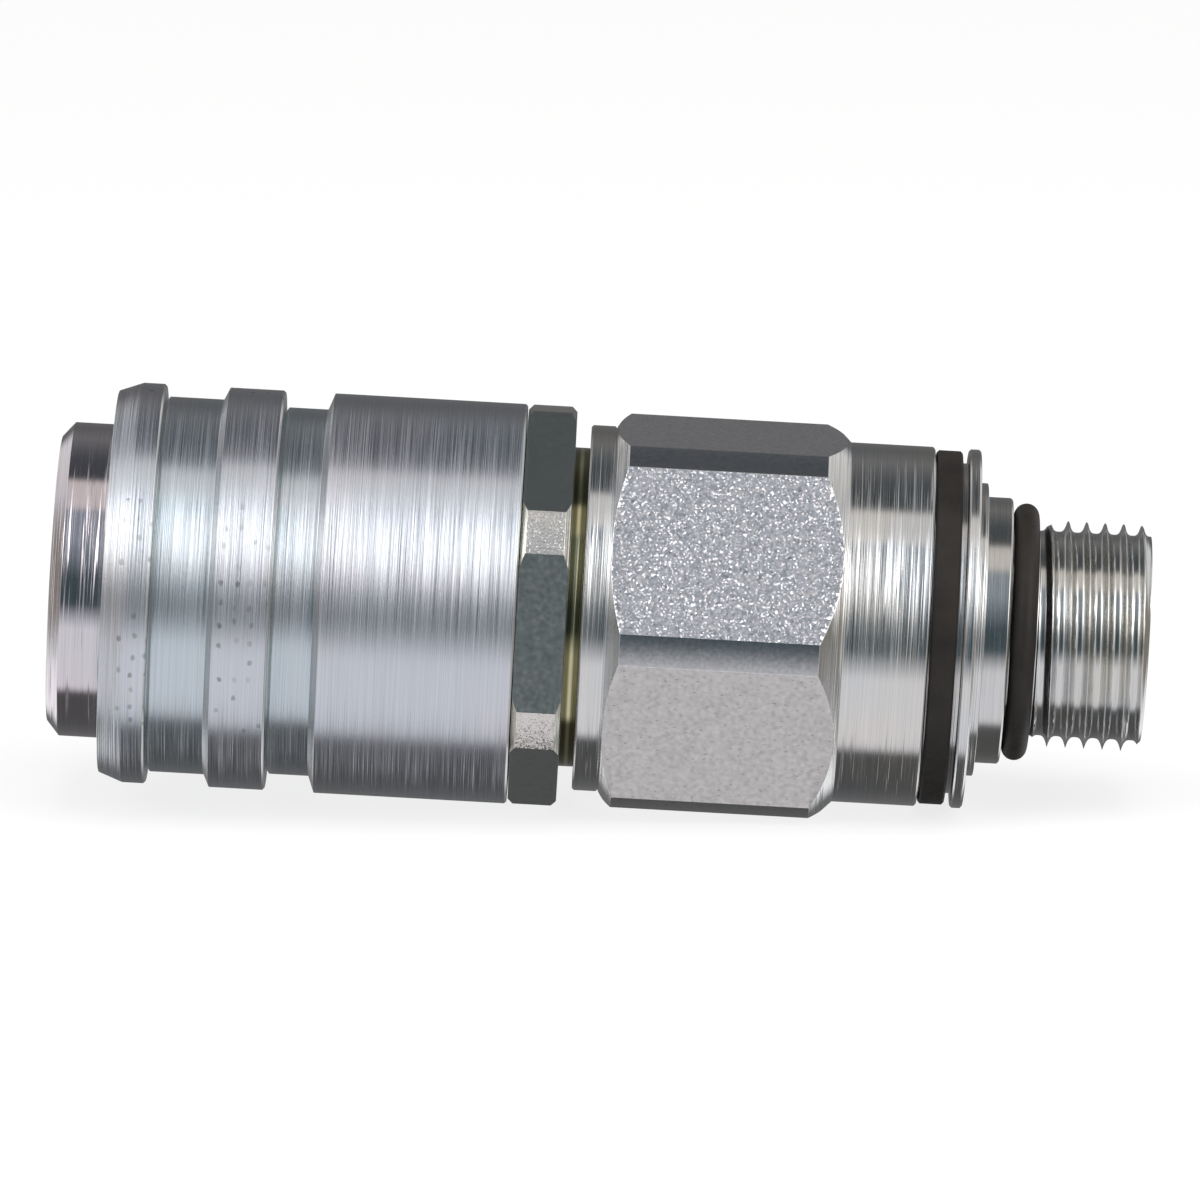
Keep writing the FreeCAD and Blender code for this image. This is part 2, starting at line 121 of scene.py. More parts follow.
def corner_round(before, corner, after, radius):
    """Points of a small arc in place of one outline corner."""
    to_before = (before - corner).normalized()
    to_after = (after - corner).normalized()
    turn = math.pi - to_before.angle(to_after)
    if turn < math.radians(SOFT_TURN):
        return [corner]
    room = 0.45 * min((before - corner).length, (after - corner).length)
    reach = min(radius * math.tan(turn / 2), room)
    arc_r = reach / math.tan(turn / 2)
    middle = (to_before + to_after).normalized()
    centre = corner + middle * (arc_r / math.cos(turn / 2))
    start = (corner + to_before * reach - centre).normalized()
    end = (corner + to_after * reach - centre).normalized()
    arc = [start.slerp(end, step / ROUND_STEPS) for step in range(ROUND_STEPS + 1)]
    return [centre + direction * arc_r for direction in arc]


def rounded(outline, radius=EDGE_ROUND):
    """A closed outline in millimetres with all its corners rounded."""
    points = [Vector(p) for p in outline]
    result = []
    for i, corner in enumerate(points):
        result += corner_round(points[i - 1], corner, points[(i + 1) % len(points)], radius)
    return result


def with_rows(points, x_from, x_to, step):
    """The outline with extra points wherever it runs along between the two stations."""
    result = []
    for i, here in enumerate(points):
        result.append(here)
        there = points[(i + 1) % len(points)]
        inside = x_from - 1e-6 <= min(here.x, there.x) and max(here.x, there.x) <= x_to + 1e-6
        pieces = int(abs(there.x - here.x) / step) if inside else 0
        for k in range(1, pieces):
            result.append(here.lerp(there, k / pieces))
    return result


# %% [markdown]
# ## Turning, and milling the flats
# A hexagon on a turned part starts as round bar. Its corners are turned to a radius and its ends
# to a taper, and the flats are what remains of the bar. The mesh follows that: each ring of the
# piece keeps its turned radius at the corners and is cut straight across at the flats. Because
# the ring's own points sit exactly where flat and corner meet, the curved end of each flat comes
# out crisp, as on the real piece. A small bevel on those lines then gives them a bright edge.

# %% Turned meshes
FLAT_STEPS = 6
CORNER_STEPS = 40
MILLED_ROUND = 0.12
MILLED_EDGE_TURN = 16       # degrees between the faces that meet at a milled edge


def hexagon_ring(x, radius, milled):
    """One ring of points, cut straight across where a hexagon is milled."""
    low, high, across_flats, turn = milled
    half_flats = across_flats / 2
    inside = low <= x <= high and radius > half_flats
    reach = math.acos(half_flats / radius) if inside else 0.0
    ring = []
    for side in range(6):
        middle = math.radians(turn + 60 * side)
        for step in range(FLAT_STEPS):
            angle = -reach + 2 * reach * step / FLAT_STEPS
            across = half_flats / math.cos(angle) if inside else radius
            ring.append((across, middle + angle))
        for step in range(CORNER_STEPS):
            angle = reach + (math.radians(60) - 2 * reach) * step / CORNER_STEPS
            ring.append((radius, middle + angle))
    return ring


def round_ring(radius):
    return [(radius, 2 * math.pi * k / SEGMENTS) for k in range(SEGMENTS)]


def link(name, mesh):
    """A bmesh as a linked object of its own."""
    data = bpy.data.meshes.new(name)
    mesh.to_mesh(data)
    mesh.free()
    piece = bpy.data.objects.new(name, data)
    bpy.context.scene.collection.objects.link(piece)
    return piece


def turned_mesh(name, points, milled=None):
    """A closed mesh turned from a closed outline in millimetres."""
    mesh = bmesh.new()
    rings = []
    for point in points:
        ring = hexagon_ring(point.x, point.y, milled) if milled else round_ring(point.y)
        corners = []
        for radius, angle in ring:
            place = Vector((point.x, radius * math.cos(angle), radius * math.sin(angle))) * MM
            corners.append(mesh.verts.new(place))
        rings.append(corners)
    around = len(rings[0])
    for index, first in enumerate(rings):
        second = rings[(index + 1) % len(rings)]
        for k in range(around):
            after = (k + 1) % around
            mesh.faces.new((first[k], first[after], second[after], second[k]))
    bmesh.ops.remove_doubles(mesh, verts=mesh.verts, dist=1e-7)
    bmesh.ops.dissolve_degenerate(mesh, edges=mesh.edges, dist=1e-8)
    bmesh.ops.recalc_face_normals(mesh, faces=mesh.faces)
    return link(name, mesh)


def bevel_milled_edges(piece, milled):
    """Bevel the lines where a flat meets the turned corners and tapers."""
    low, high = milled[0] * MM, milled[1] * MM
    mesh = bmesh.new()
    mesh.from_mesh(piece.data)
    weight = mesh.edges.layers.float.new("bevel_weight_edge")
    marked = 0
    for edge in mesh.edges:
        middle = (edge.verts[0].co + edge.verts[1].co) / 2
        outside = math.hypot(middle.y, middle.z) > 0.97 * milled[2] / 2 * MM
        if low <= middle.x <= high and outside and edge.is_manifold:
            if edge.calc_face_angle(0.0) > math.radians(MILLED_EDGE_TURN):
                edge[weight] = 1.0
                marked += 1
    mesh.to_mesh(piece.data)
    mesh.free()
    bevel = piece.modifiers.new("milled edges", "BEVEL")
    bevel.limit_method = "WEIGHT"
    bevel.width = MILLED_ROUND * MM
    bevel.segments = 2
    return marked


def settle(piece):
    """Turn the modifiers into a plain mesh with smooth, area-weighted normals."""
    piece.data.polygons.foreach_set("use_smooth", [True] * len(piece.data.polygons))
    weighted = piece.modifiers.new("weighted normals", "WEIGHTED_NORMAL")
    weighted.weight = 100
    bpy.context.view_layer.update()
    graph = bpy.context.evaluated_depsgraph_get()
    plain = bpy.data.meshes.new_from_object(piece.evaluated_get(graph))
    piece.modifiers.clear()
    piece.data = plain
    return piece


def dress(piece, node, body, material):
    """Let a rebuilt piece stand for its node, on the node's body, in its finish."""
    piece.data.materials.clear()
    piece.data.materials.append(material)
    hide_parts(node)
    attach(piece, body)
    print(piece.name, "stands for", node, "with", len(piece.data.polygons), "faces")


# %% [markdown]
# ## Effects that several finishes share
# The lathe leaves fine lines around the axis on every turned face, the flats keep the skin of the
# bar, handling adds small dents, and the zinc adds cloudy tints. Each effect is a node group with
# named inputs, so that every finish can use it in its own strength. They read Object coordinates,
# because every piece sits at the origin with its place in its mesh: X runs along the axis for all.

# %% Node helpers


def new_group(name, inputs, outputs):
    """A shader node group with named sockets, and its way in and out."""
    group = bpy.data.node_groups.new(name, "ShaderNodeTree")
    for label, kind, value in inputs:
        socket = group.interface.new_socket(label, in_out="INPUT", socket_type=kind)
        socket.default_value = value
    for label, kind in outputs:
        group.interface.new_socket(label, in_out="OUTPUT", socket_type=kind)
    return group, group.nodes.new("NodeGroupInput"), group.nodes.new("NodeGroupOutput")


def feed(tree, socket, source):
    """Link a socket to its source, or give it a plain value."""
    if isinstance(source, bpy.types.NodeSocket):
        tree.links.new(source, socket)
    else:
        socket.default_value = source


def put(tree, kind, inputs=None, **settings):
    """Add a node with its settings, and feed its inputs."""
    node = tree.nodes.new(kind)
    for key, value in settings.items():
        setattr(node, key, value)
    for key, source in (inputs or {}).items():
        feed(tree, node.inputs[key], source)
    return node


def sums(tree, operation, a, b=0.0):
    return put(tree, "ShaderNodeMath", {0: a, 1: b}, operation=operation).outputs[0]


def times(tree, a, b):
    return sums(tree, "MULTIPLY", a, b)


def plus(tree, a, b):
    return sums(tree, "ADD", a, b)


def minus(tree, a, b):
    return sums(tree, "SUBTRACT", a, b)


def vectors(tree, operation, a, b=None, scale=None):
    inputs = {0: a}
    if b is not None:
        inputs[1] = b
    if scale is not None:
        inputs["Scale"] = scale
    node = put(tree, "ShaderNodeVectorMath", inputs, operation=operation)
    return node.outputs["Value"] if operation in ("LENGTH", "DOT_PRODUCT") else node.outputs["Vector"]


def joined(tree, x, y, z):
    return put(tree, "ShaderNodeCombineXYZ", {0: x, 1: y, 2: z}).outputs[0]


def mapped(tree, value, from_low, from_high, to_low, to_high):
    inputs = {"Value": value, "From Min": from_low, "From Max": from_high}
    inputs.update({"To Min": to_low, "To Max": to_high})
    return put(tree, "ShaderNodeMapRange", inputs).outputs["Result"]


def mixed(tree, share, first, second, blend="MIX"):
    node = put(tree, "ShaderNodeMix", data_type="RGBA", blend_type=blend)
    feed(tree, node.inputs[0], share)
    feed(tree, node.inputs[6], first)
    feed(tree, node.inputs[7], second)
    return node.outputs[2]


def noise(tree, vector, detail, seed=0.0, scale=1.0, output="Fac"):
    inputs = {"Vector": vector, "W": seed, "Scale": scale, "Detail": detail}
    return put(tree, "ShaderNodeTexNoise", inputs, noise_dimensions="4D").outputs[output]


def signed(tree, value):
    """A noise value as a number around nought, mostly between -1 and 1."""
    return times(tree, minus(tree, value, 0.5), 8.0)


def to_world(tree, normal):
    """An object's own direction as the unit normal that a shader takes."""
    turned = put(
        tree, "ShaderNodeVectorTransform", {0: normal},
        vector_type="NORMAL", convert_from="OBJECT", convert_to="WORLD",
    )
    return vectors(tree, "NORMALIZE", turned.outputs[0])


# %% [markdown]
# ### Lines left by the lathe
# A turning tool leaves a fine spiral of tiny ridges. Their sides tilt the surface towards one end
# or the other, so one line mirrors the light at the left of the studio and the next the light at
# the right. A weak bump would blur that away at this scale. Here the normal itself is tilted along
# the profile by noise that changes fast across the lines and slowly around them. Seven times finer
# scratches, too fine to be seen one by one, spread the light as a satin finish does. A few deeper
# streaks tilt further, and come out as bright threads across a dark band.

# %% Turning marks group
CONE_SHARE = 1.37           # lets the lines run on over faces square to the axis
WIDE_LINES = 0.12           # how fine each kind of line is, against the visible ones
DEEP_LINES = 0.5
SATIN_LINES = 7.0
WIDE_TILT = 0.3
STREAK_EDGE = 0.04

marks, enter, leave = new_group(
    "turning_marks",
    [
        ("Lines per mm", "NodeSocketFloat", 6.0),
        ("Line length mm", "NodeSocketFloat", 14.0),
        ("Tilt", "NodeSocketFloat", 0.05),
        ("Spread", "NodeSocketFloat", 0.1),
        ("Streak tilt", "NodeSocketFloat", 0.3),
        ("Streak level", "NodeSocketFloat", 0.62),
        ("Seed", "NodeSocketFloat", 0.0),
    ],
    [("Normal", "NodeSocketVector"), ("Lines", "NodeSocketFloat")],
)
tree = marks
place = put(tree, "ShaderNodeTexCoord")
parts = put(tree, "ShaderNodeSeparateXYZ", {0: place.outputs["Object"]}).outputs
around = joined(tree, 0.0, parts["Y"], parts["Z"])
outward = vectors(tree, "NORMALIZE", around)
radius = vectors(tree, "LENGTH", around)
along = plus(tree, parts["X"], times(tree, radius, CONE_SHARE))
along = times(tree, along, times(tree, enter.outputs["Lines per mm"], 1000.0))
slow = vectors(tree, "SCALE", around, scale=sums(tree, "DIVIDE", 1000.0, enter.outputs["Line length mm"]))
seed = enter.outputs["Seed"]


def line_noise(share, detail, shift):
    """Noise along the lines at a share of their fineness, shifted to a pattern of its own."""
    spot = vectors(marks, "ADD", slow, joined(marks, times(marks, along, share), 0.0, 0.0))
    return noise(marks, spot, detail, plus(marks, seed, shift))


fine = line_noise(1.0, 2.0, 0.0)
wide = line_noise(WIDE_LINES, 2.0, 7.3)
deep = line_noise(DEEP_LINES, 1.0, 13.1)
satin = line_noise(SATIN_LINES, 0.0, 21.7)
level = enter.outputs["Streak level"]
streak = mapped(tree, deep, level, plus(tree, level, STREAK_EDGE), 0.0, 1.0)
lean = times(tree, signed(tree, wide), 2.0)
lean = sums(tree, "MAXIMUM", sums(tree, "MINIMUM", lean, 1.0), -1.0)
broad = times(tree, signed(tree, wide), WIDE_TILT)
tilt = times(tree, plus(tree, signed(tree, fine), broad), enter.outputs["Tilt"])
satin_tilt = times(tree, signed(tree, satin), enter.outputs["Spread"])
tilt = plus(tree, tilt, satin_tilt)
sharp = times(tree, times(tree, streak, lean), enter.outputs["Streak tilt"])
tilt = plus(tree, tilt, sharp)
own = place.outputs["Normal"]
own_x = put(tree, "ShaderNodeSeparateXYZ", {0: own}).outputs["X"]
downhill = vectors(
    tree, "SUBTRACT",
    joined(tree, vectors(tree, "DOT_PRODUCT", own, outward), 0.0, 0.0),
    vectors(tree, "SCALE", outward, scale=own_x),
)
tilted = vectors(tree, "ADD", own, vectors(tree, "SCALE", downhill, scale=tilt))
feed(tree, leave.inputs["Normal"], to_world(tree, tilted))
feed(tree, leave.inputs["Lines"], mapped(tree, fine, 0.3, 0.7, 0.0, 1.0))
print("group:", marks.name)

# %% [markdown]
# ### Skin of the bar stock
# The flats of the hexagon were never turned. They keep the skin of the drawn bar, etched and
# plated, a fine crystalline grain of under half a millimetre that glitters in the light. Each
# grain leans its own way, so the normal is tilted by a noise with three separate parts.

# %% Bar grain group
grain, enter, leave = new_group(
    "bar_grain",
    [
        ("Grain mm", "NodeSocketFloat", 0.4),
        ("Tilt", "NodeSocketFloat", 0.2),
        ("Seed", "NodeSocketFloat", 0.0),
    ],
    [("Normal", "NodeSocketVector"), ("Spots", "NodeSocketFloat"), ("Clouds", "NodeSocketFloat")],
)
tree = grain
place = put(tree, "ShaderNodeTexCoord")
density = sums(tree, "DIVIDE", 1000.0, enter.outputs["Grain mm"])
small = vectors(tree, "SCALE", place.outputs["Object"], scale=density)
lean = noise(tree, small, 1.5, enter.outputs["Seed"], output="Color")
lean = vectors(tree, "SUBTRACT", lean, (0.5, 0.5, 0.5))
strength = times(tree, enter.outputs["Tilt"], 8.0)
tilted = vectors(tree, "ADD", place.outputs["Normal"], vectors(tree, "SCALE", lean, scale=strength))
spots = noise(tree, small, 1.0, plus(tree, enter.outputs["Seed"], 3.7))
clouds = noise(tree, vectors(tree, "SCALE", small, scale=0.09), 3.0, enter.outputs["Seed"])
feed(tree, leave.inputs["Normal"], to_world(tree, tilted))
feed(tree, leave.inputs["Spots"], mapped(tree, spots, 0.35, 0.65, 0.0, 1.0))
feed(tree, leave.inputs["Clouds"], mapped(tree, clouds, 0.35, 0.65, 0.0, 1.0))
print("group:", grain.name)

# %% [markdown]
# ### Marks of a grip
# The proud flanges carry rows of small dark dents where a tool or a hand held them. The surface
# is unrolled into rows around the axis and columns along it, and a cell pattern on that flat map
# puts one dent in each cell, a little off its middle. Each cell keeps its dent by chance, some of
# them faint, and only where one of three jaws gripped.

# %% Grip marks group
dents, enter, leave = new_group(
    "grip_marks",
    [
        ("Column mm", "NodeSocketFloat", 2.6),
        ("Row mm", "NodeSocketFloat", 1.7),
        ("Size", "NodeSocketFloat", 0.2),
        ("Share", "NodeSocketFloat", 0.5),
        ("Seed", "NodeSocketFloat", 0.0),
    ],
    [("Mask", "NodeSocketFloat")],
)
tree = dents
spot = put(tree, "ShaderNodeTexCoord").outputs["Object"]
parts = put(tree, "ShaderNodeSeparateXYZ", {0: spot}).outputs
radius = vectors(tree, "LENGTH", joined(tree, 0.0, parts["Y"], parts["Z"]))
angle = sums(tree, "ARCTAN2", parts["Z"], times(tree, parts["Y"], -1.0))
arc = times(tree, angle, radius)
column = sums(tree, "DIVIDE", times(tree, parts["X"], 1000.0), enter.outputs["Column mm"])
row = sums(tree, "DIVIDE", times(tree, arc, 1000.0), enter.outputs["Row mm"])
unrolled = joined(tree, column, plus(tree, row, enter.outputs["Seed"]), 0.0)
settings = {"Vector": unrolled, "Scale": 1.0, "Randomness": 0.45}
cells = put(tree, "ShaderNodeTexVoronoi", settings, voronoi_dimensions="2D")
size = enter.outputs["Size"]
uneven = times(tree, noise(tree, spot, 3.0, scale=2500.0), 0.25)
distance = plus(tree, cells.outputs["Distance"], minus(tree, uneven, 0.125))
dot = mapped(tree, distance, times(tree, size, 0.5), size, 1.0, 0.0)
choice = put(tree, "ShaderNodeSeparateColor", {0: cells.outputs["Color"]}).outputs
kept = sums(tree, "LESS_THAN", choice["Red"], enter.outputs["Share"])
kept = times(tree, kept, mapped(tree, choice["Blue"], 0.0, 1.0, 0.2, 1.0))
jaws = sums(tree, "COSINE", times(tree, angle, 3.0))
kept = times(tree, kept, sums(tree, "GREATER_THAN", jaws, -0.3))
feed(tree, leave.inputs["Mask"], times(tree, dot, kept))
print("group:", dents.name)

# %% [markdown]
# ### Thin tints of the plating
# Clear chromate over zinc is a very thin film. It turns slightly blue, pink or yellow from
# place to place. A slow noise picks between two tints around a base.

# %% Plating tint group
tints, enter, leave = new_group(
    "plating_tint",
    [
        ("Base", "NodeSocketColor", (0.7, 0.7, 0.7, 1.0)),
        ("Cool", "NodeSocketColor", (0.62, 0.68, 0.74, 1.0)),
        ("Warm", "NodeSocketColor", (0.76, 0.70, 0.68, 1.0)),
        ("Patch mm", "NodeSocketFloat", 9.0),
        ("Amount", "NodeSocketFloat", 0.5),
    ],
    [("Color", "NodeSocketColor")],
)
tree = tints
spot = put(tree, "ShaderNodeTexCoord").outputs["Object"]
patches = vectors(tree, "SCALE", spot, scale=sums(tree, "DIVIDE", 1000.0, enter.outputs["Patch mm"]))
pick = mapped(tree, noise(tree, patches, 3.0), 0.38, 0.62, 0.0, 1.0)
tinted = mixed(tree, pick, enter.outputs["Cool"], enter.outputs["Warm"])
feed(tree, leave.inputs["Color"], mixed(tree, enter.outputs["Amount"], enter.outputs["Base"], tinted))
print("group:", tints.name)

# %% [markdown]
# ## The finishes
# Every steel is the same metal under different hands. What differs is how rough the last cut
# left it, in which direction the marks run, and how thick the plating lies. Plain numbers go
# straight on the shader, and only what changes over the surface comes through nodes.

# %% Material helpers


def new_material(name, metallic, roughness):
    """A material with its Principled shader, ready for nodes."""
    material = bpy.data.materials.new(name)
    material.use_nodes = True
    tree = material.node_tree
    shader = tree.nodes["Principled BSDF"]
    shader.inputs["Metallic"].default_value = metallic
    shader.inputs["Roughness"].default_value = roughness
    return material, tree, shader


def group_node(tree, group, **values):
    """Place a group in a material, with spaces for the underscores in its inputs' names."""
    node = tree.nodes.new("ShaderNodeGroup")
    node.node_tree = group
    for label, value in values.items():
        feed(tree, node.inputs[label.replace("_", " ")], value)
    return node.outputs


def gray(level, warm=0.0):
    return (level * (1 + warm), level, level * (1 - warm), 1.0)


def object_parts(tree):
    """The place on the piece as distance along the axis and radius, in millimetres."""
    spot = put(tree, "ShaderNodeTexCoord").outputs["Object"]
    parts = put(tree, "ShaderNodeSeparateXYZ", {0: spot}).outputs
    radius = vectors(tree, "LENGTH", joined(tree, 0.0, parts["Y"], parts["Z"]))
    return times(tree, parts["X"], 1000.0), times(tree, radius, 1000.0)


def shaded(tree, colour, shade):
    """A colour darkened by a plain factor."""
    light = put(tree, "ShaderNodeCombineColor", {0: shade, 1: shade, 2: shade}).outputs[0]
    return mixed(tree, 1.0, colour, light, "MULTIPLY")


def between(tree, value, low, high, soft=0.1):
    """A mask that is 1 from low to high."""
    up = mapped(tree, value, low - soft, low + soft, 0.0, 1.0)
    down = mapped(tree, value, high - soft, high + soft, 1.0, 0.0)
    return times(tree, up, down)


LINE_SHADE = 0.15
TINT_PATCH = 11.0
TINT_AMOUNT = 0.6


def turned_steel(name, base, cool, warm, rough, marking):
    """Plated steel with lines around the axis. Returns what a finish may still add to."""
    material, tree, shader = new_material(name, 1.0, rough)
    lines = group_node(tree, marks, **marking)
    tones = dict(Base=base, Cool=cool, Warm=warm, Patch_mm=TINT_PATCH, Amount=TINT_AMOUNT)
    colour = group_node(tree, tints, **tones)["Color"]
    metal = shaded(tree, colour, mapped(tree, lines["Lines"], 0.0, 1.0, 1.0 - LINE_SHADE, 1.0))
    feed(tree, shader.inputs["Base Color"], metal)
    feed(tree, shader.inputs["Normal"], lines["Normal"])
    return material, tree, shader, metal


# %% [markdown]
# ### Satin sleeve
# The sleeve was polished with fine cloth while it turned, so its lines are close and strong, and
# it spreads each light far along the axis. Its zinc is bluish, more so in the two grooves, but
# nearly neutral on the slants and walls. Only its flanges carry the grip marks.

# %% Sleeve finish
FLANGE_R = 19.2             # only what stands prouder than this is gripped
FLANGES_END = 22.0
GROOVE_R = (18.45, 18.8)

sleeve_steel, tree, shader, metal = turned_steel(
    "satin_sleeve", (0.75, 0.78, 0.85, 1), (0.72, 0.78, 0.86, 1), (0.78, 0.77, 0.84, 1), rough=0.22,
    marking=dict(
        Lines_per_mm=10.0, Line_length_mm=22.0, Tilt=0.04, Spread=0.26,
        Streak_tilt=0.1, Streak_level=0.6, Seed=1.0,
    ),
)
along_axis, from_axis = object_parts(tree)
in_groove = mapped(tree, from_axis, GROOVE_R[0], GROOVE_R[1], 0.7, 0.0)
metal = mixed(tree, in_groove, metal, mixed(tree, 1.0, metal, (0.93, 1.0, 0.99, 1), "MULTIPLY"))
gripped = sums(tree, "GREATER_THAN", from_axis, FLANGE_R)
gripped = times(tree, gripped, sums(tree, "LESS_THAN", along_axis, FLANGES_END))
dent = group_node(tree, dents, Column_mm=1.4, Row_mm=1.9, Size=0.2, Share=0.6, Seed=2.0)
dent = times(tree, dent["Mask"], gripped)
metal = mixed(tree, times(tree, dent, 0.6), metal, gray(0.16))
facing = put(tree, "ShaderNodeTexCoord").outputs["Normal"]
facing = sums(tree, "ABSOLUTE", put(tree, "ShaderNodeSeparateXYZ", {0: facing}).outputs["X"])
slanted = mapped(tree, facing, 0.3, 0.6, 0.0, 1.0)
metal = mixed(tree, slanted, metal, mixed(tree, 1.0, metal, (1.05, 1.01, 0.94, 1), "MULTIPLY"))
feed(tree, shader.inputs["Base Color"], metal)
print("finish:", sleeve_steel.name)

# %% [markdown]
# ### Plated body
# The body is turned smooth and plated bright, so it mirrors the studio sharply, with a few
# streaks. Its film is pinkish on the nose, greenish on the hexagon and yellow on the neck, where
# the bath stayed longest. The neck's colour is also darkened far below bright metal: painted
# shade of the narrow recess between the hexagon and the adapter.

# %% Body finish
HEX_ZONE = (45.2, 50.2)
# the neck: a yellow tint darkened as painted shade of its narrow recess
NECK_TINT_AND_SHADE = (50.25, 53.0)
NECK_LINE = (50.8, 51.15)

body_steel, tree, shader, metal = turned_steel(
    "plated_body", (0.83, 0.78, 0.84, 1), (0.79, 0.79, 0.84, 1), (0.87, 0.77, 0.82, 1), rough=0.12,
    marking=dict(
        Lines_per_mm=10.0, Line_length_mm=18.0, Tilt=0.03, Spread=0.08,
        Streak_tilt=0.3, Streak_level=0.56, Seed=4.0,
    ),
)
along_axis, from_axis = object_parts(tree)
metal = mixed(tree, between(tree, along_axis, *HEX_ZONE), metal, (0.74, 0.75, 0.68, 1))
# painted shade: the neck recess is coloured dark yellow, its tint plus the shade that falls in it
metal = mixed(tree, between(tree, along_axis, *NECK_TINT_AND_SHADE), metal, (0.20, 0.19, 0.10, 1))
metal = mixed(tree, between(tree, along_axis, *NECK_LINE), metal, (0.66, 0.62, 0.40, 1))
feed(tree, shader.inputs["Base Color"], metal)
print("finish:", body_steel.name)

# %% [markdown]
# ### Turned adapter
# The adapter keeps the marks of a quicker cut: nearly smooth between the lines, with many deeper
# streaks of about a fifth of a millimetre.

# %% Adapter finish
adapter_steel, tree, shader, metal = turned_steel(
    "turned_adapter", (0.82, 0.82, 0.82, 1), (0.77, 0.80, 0.84, 1), (0.85, 0.82, 0.78, 1), rough=0.13,
    marking=dict(
        Lines_per_mm=11.0, Line_length_mm=20.0, Tilt=0.07, Spread=0.15,
        Streak_tilt=0.27, Streak_level=0.56, Seed=8.0,
    ),
)
thread_steel = turned_steel(
    "cut_thread", (0.80, 0.80, 0.79, 1), (0.77, 0.79, 0.82, 1), (0.83, 0.81, 0.76, 1), rough=0.17,
    marking=dict(
        Lines_per_mm=6.0, Line_length_mm=9.0, Tilt=0.04, Spread=0.07,
        Streak_tilt=0.0, Streak_level=0.9, Seed=9.0,
    ),
)[0]
print("finishes:", adapter_steel.name, thread_steel.name)


# %% [markdown]
# ### Flats, small steel, rubber and support rings
# The upper flats kept a coarse glittering skin. The lower ones were rubbed nearly matt, with
# small pits. Nitrile rubber is almost black and a little brown, and must not shine, because its
# weak mirror is all that could make it grey.

# %% Flat finishes


def flats_steel(name, base, grain_mm, tilt, rough, spots, seed):
    """Skin of drawn bar, with a glittering grain."""
    material, tree, shader = new_material(name, 1.0, rough)
    skin = group_node(tree, grain, Grain_mm=grain_mm, Tilt=tilt, Seed=seed)
    metal = shaded(tree, base, mapped(tree, skin["Spots"], 0.0, 1.0, 1.0 - spots, 1.0))
    feed(tree, shader.inputs["Base Color"], metal)
    feed(tree, shader.inputs["Normal"], skin["Normal"])
    return material, tree, shader, metal


hex_steel = flats_steel("bar_flats", (0.90, 0.89, 0.93, 1), 0.34, 0.145, 0.3, 0.22, 1.0)[0]
corner_steel = flats_steel("bar_corners", (0.86, 0.83, 0.80, 1), 0.14, 0.13, 0.3, 0.1, 5.0)[0]
drawn_steel = flats_steel("drawn_corners", (0.80, 0.80, 0.82, 1), 0.4, 0.006, 0.2, 0.12, 6.0)[0]
milled_steel = flats_steel("milled_flats", (0.66, 0.70, 0.68, 1), 0.5, 0.015, 0.25, 0.06, 9.0)[0]

worn_steel, tree, shader, metal = flats_steel("worn_flats", (0.84, 0.82, 0.82, 1), 0.5, 0.03, 0.42, 0.06, 3.0)
spot = put(tree, "ShaderNodeTexCoord").outputs["Object"]
stretched = put(tree, "ShaderNodeMapping", {"Vector": spot, "Scale": (1300.0, 2600.0, 2600.0)}).outputs[0]
pits = put(tree, "ShaderNodeTexVoronoi", {"Vector": stretched, "Scale": 1.0})
pit = mapped(tree, pits.outputs["Distance"], 0.12, 0.26, 1.0, 0.0)
choice = put(tree, "ShaderNodeSeparateColor", {0: pits.outputs["Color"]}).outputs["Green"]
pit = times(tree, pit, sums(tree, "LESS_THAN", choice, 0.4))
feed(tree, shader.inputs["Base Color"], mixed(tree, times(tree, pit, 0.5), metal, gray(0.25)))
print("flat finishes:", hex_steel.name, worn_steel.name, milled_steel.name)

# %% Small steel, rubber and support rings


def black_rubber():
    """Oiled nitrile rubber: nearly black, a little brown, with moulding grain."""
    material, tree, shader = new_material("black_rubber", 0.0, 0.5)
    shader.inputs["Specular IOR Level"].default_value = 0.28
    skin = group_node(tree, grain, Grain_mm=0.3, Tilt=0.03, Seed=6.0)
    colour = mixed(tree, skin["Clouds"], (0.013, 0.011, 0.010, 1), (0.019, 0.016, 0.014, 1))
    feed(tree, shader.inputs["Base Color"], colour)
    feed(tree, shader.inputs["Normal"], skin["Normal"])
    return material


def white_support():
    """Waxy white fluoropolymer of the support rings."""
    material, tree, shader = new_material("white_support", 0.0, 0.4)
    skin = group_node(tree, grain, Grain_mm=0.8, Tilt=0.02, Seed=7.0)
    colour = mixed(tree, skin["Spots"], (0.74, 0.72, 0.66, 1), (0.82, 0.80, 0.75, 1))
    feed(tree, shader.inputs["Base Color"], colour)
    return material


def small_steel(name, level, rough, tilt, seed):
    """A neutral steel for the small inner pieces."""
    marking = dict(Lines_per_mm=5.0, Line_length_mm=5.0, Tilt=tilt, Streak_tilt=0.1, Seed=seed)
    base = gray(level)
    return turned_steel(name, base, gray(level, -0.05), gray(level, 0.05), rough, marking)[0]


valve_steel = small_steel("valve_steel", 0.64, 0.25, 0.05, 12.0)
wire_steel = small_steel("spring_wire", 0.38, 0.32, 0.03, 15.0)
washer_steel = small_steel("washer_steel", 0.52, 0.28, 0.05, 18.0)
ball_steel = small_steel("ball_steel", 0.72, 0.08, 0.004, 21.0)
rubber = black_rubber()
support = white_support()
print("finishes:", len(bpy.data.materials))

# %% [markdown]
# ## The lock sleeve
# The sleeve is what the hand pulls. Two flanges and two grooves give the fingers a hold, and the
# long plain grip behind them slides on the body. Its outline is written as lengths and radii,
# as on its drawing. The inside only shows at the mouth end, but a sleeve that slides forward is
# seen there too, so the whole section is turned.

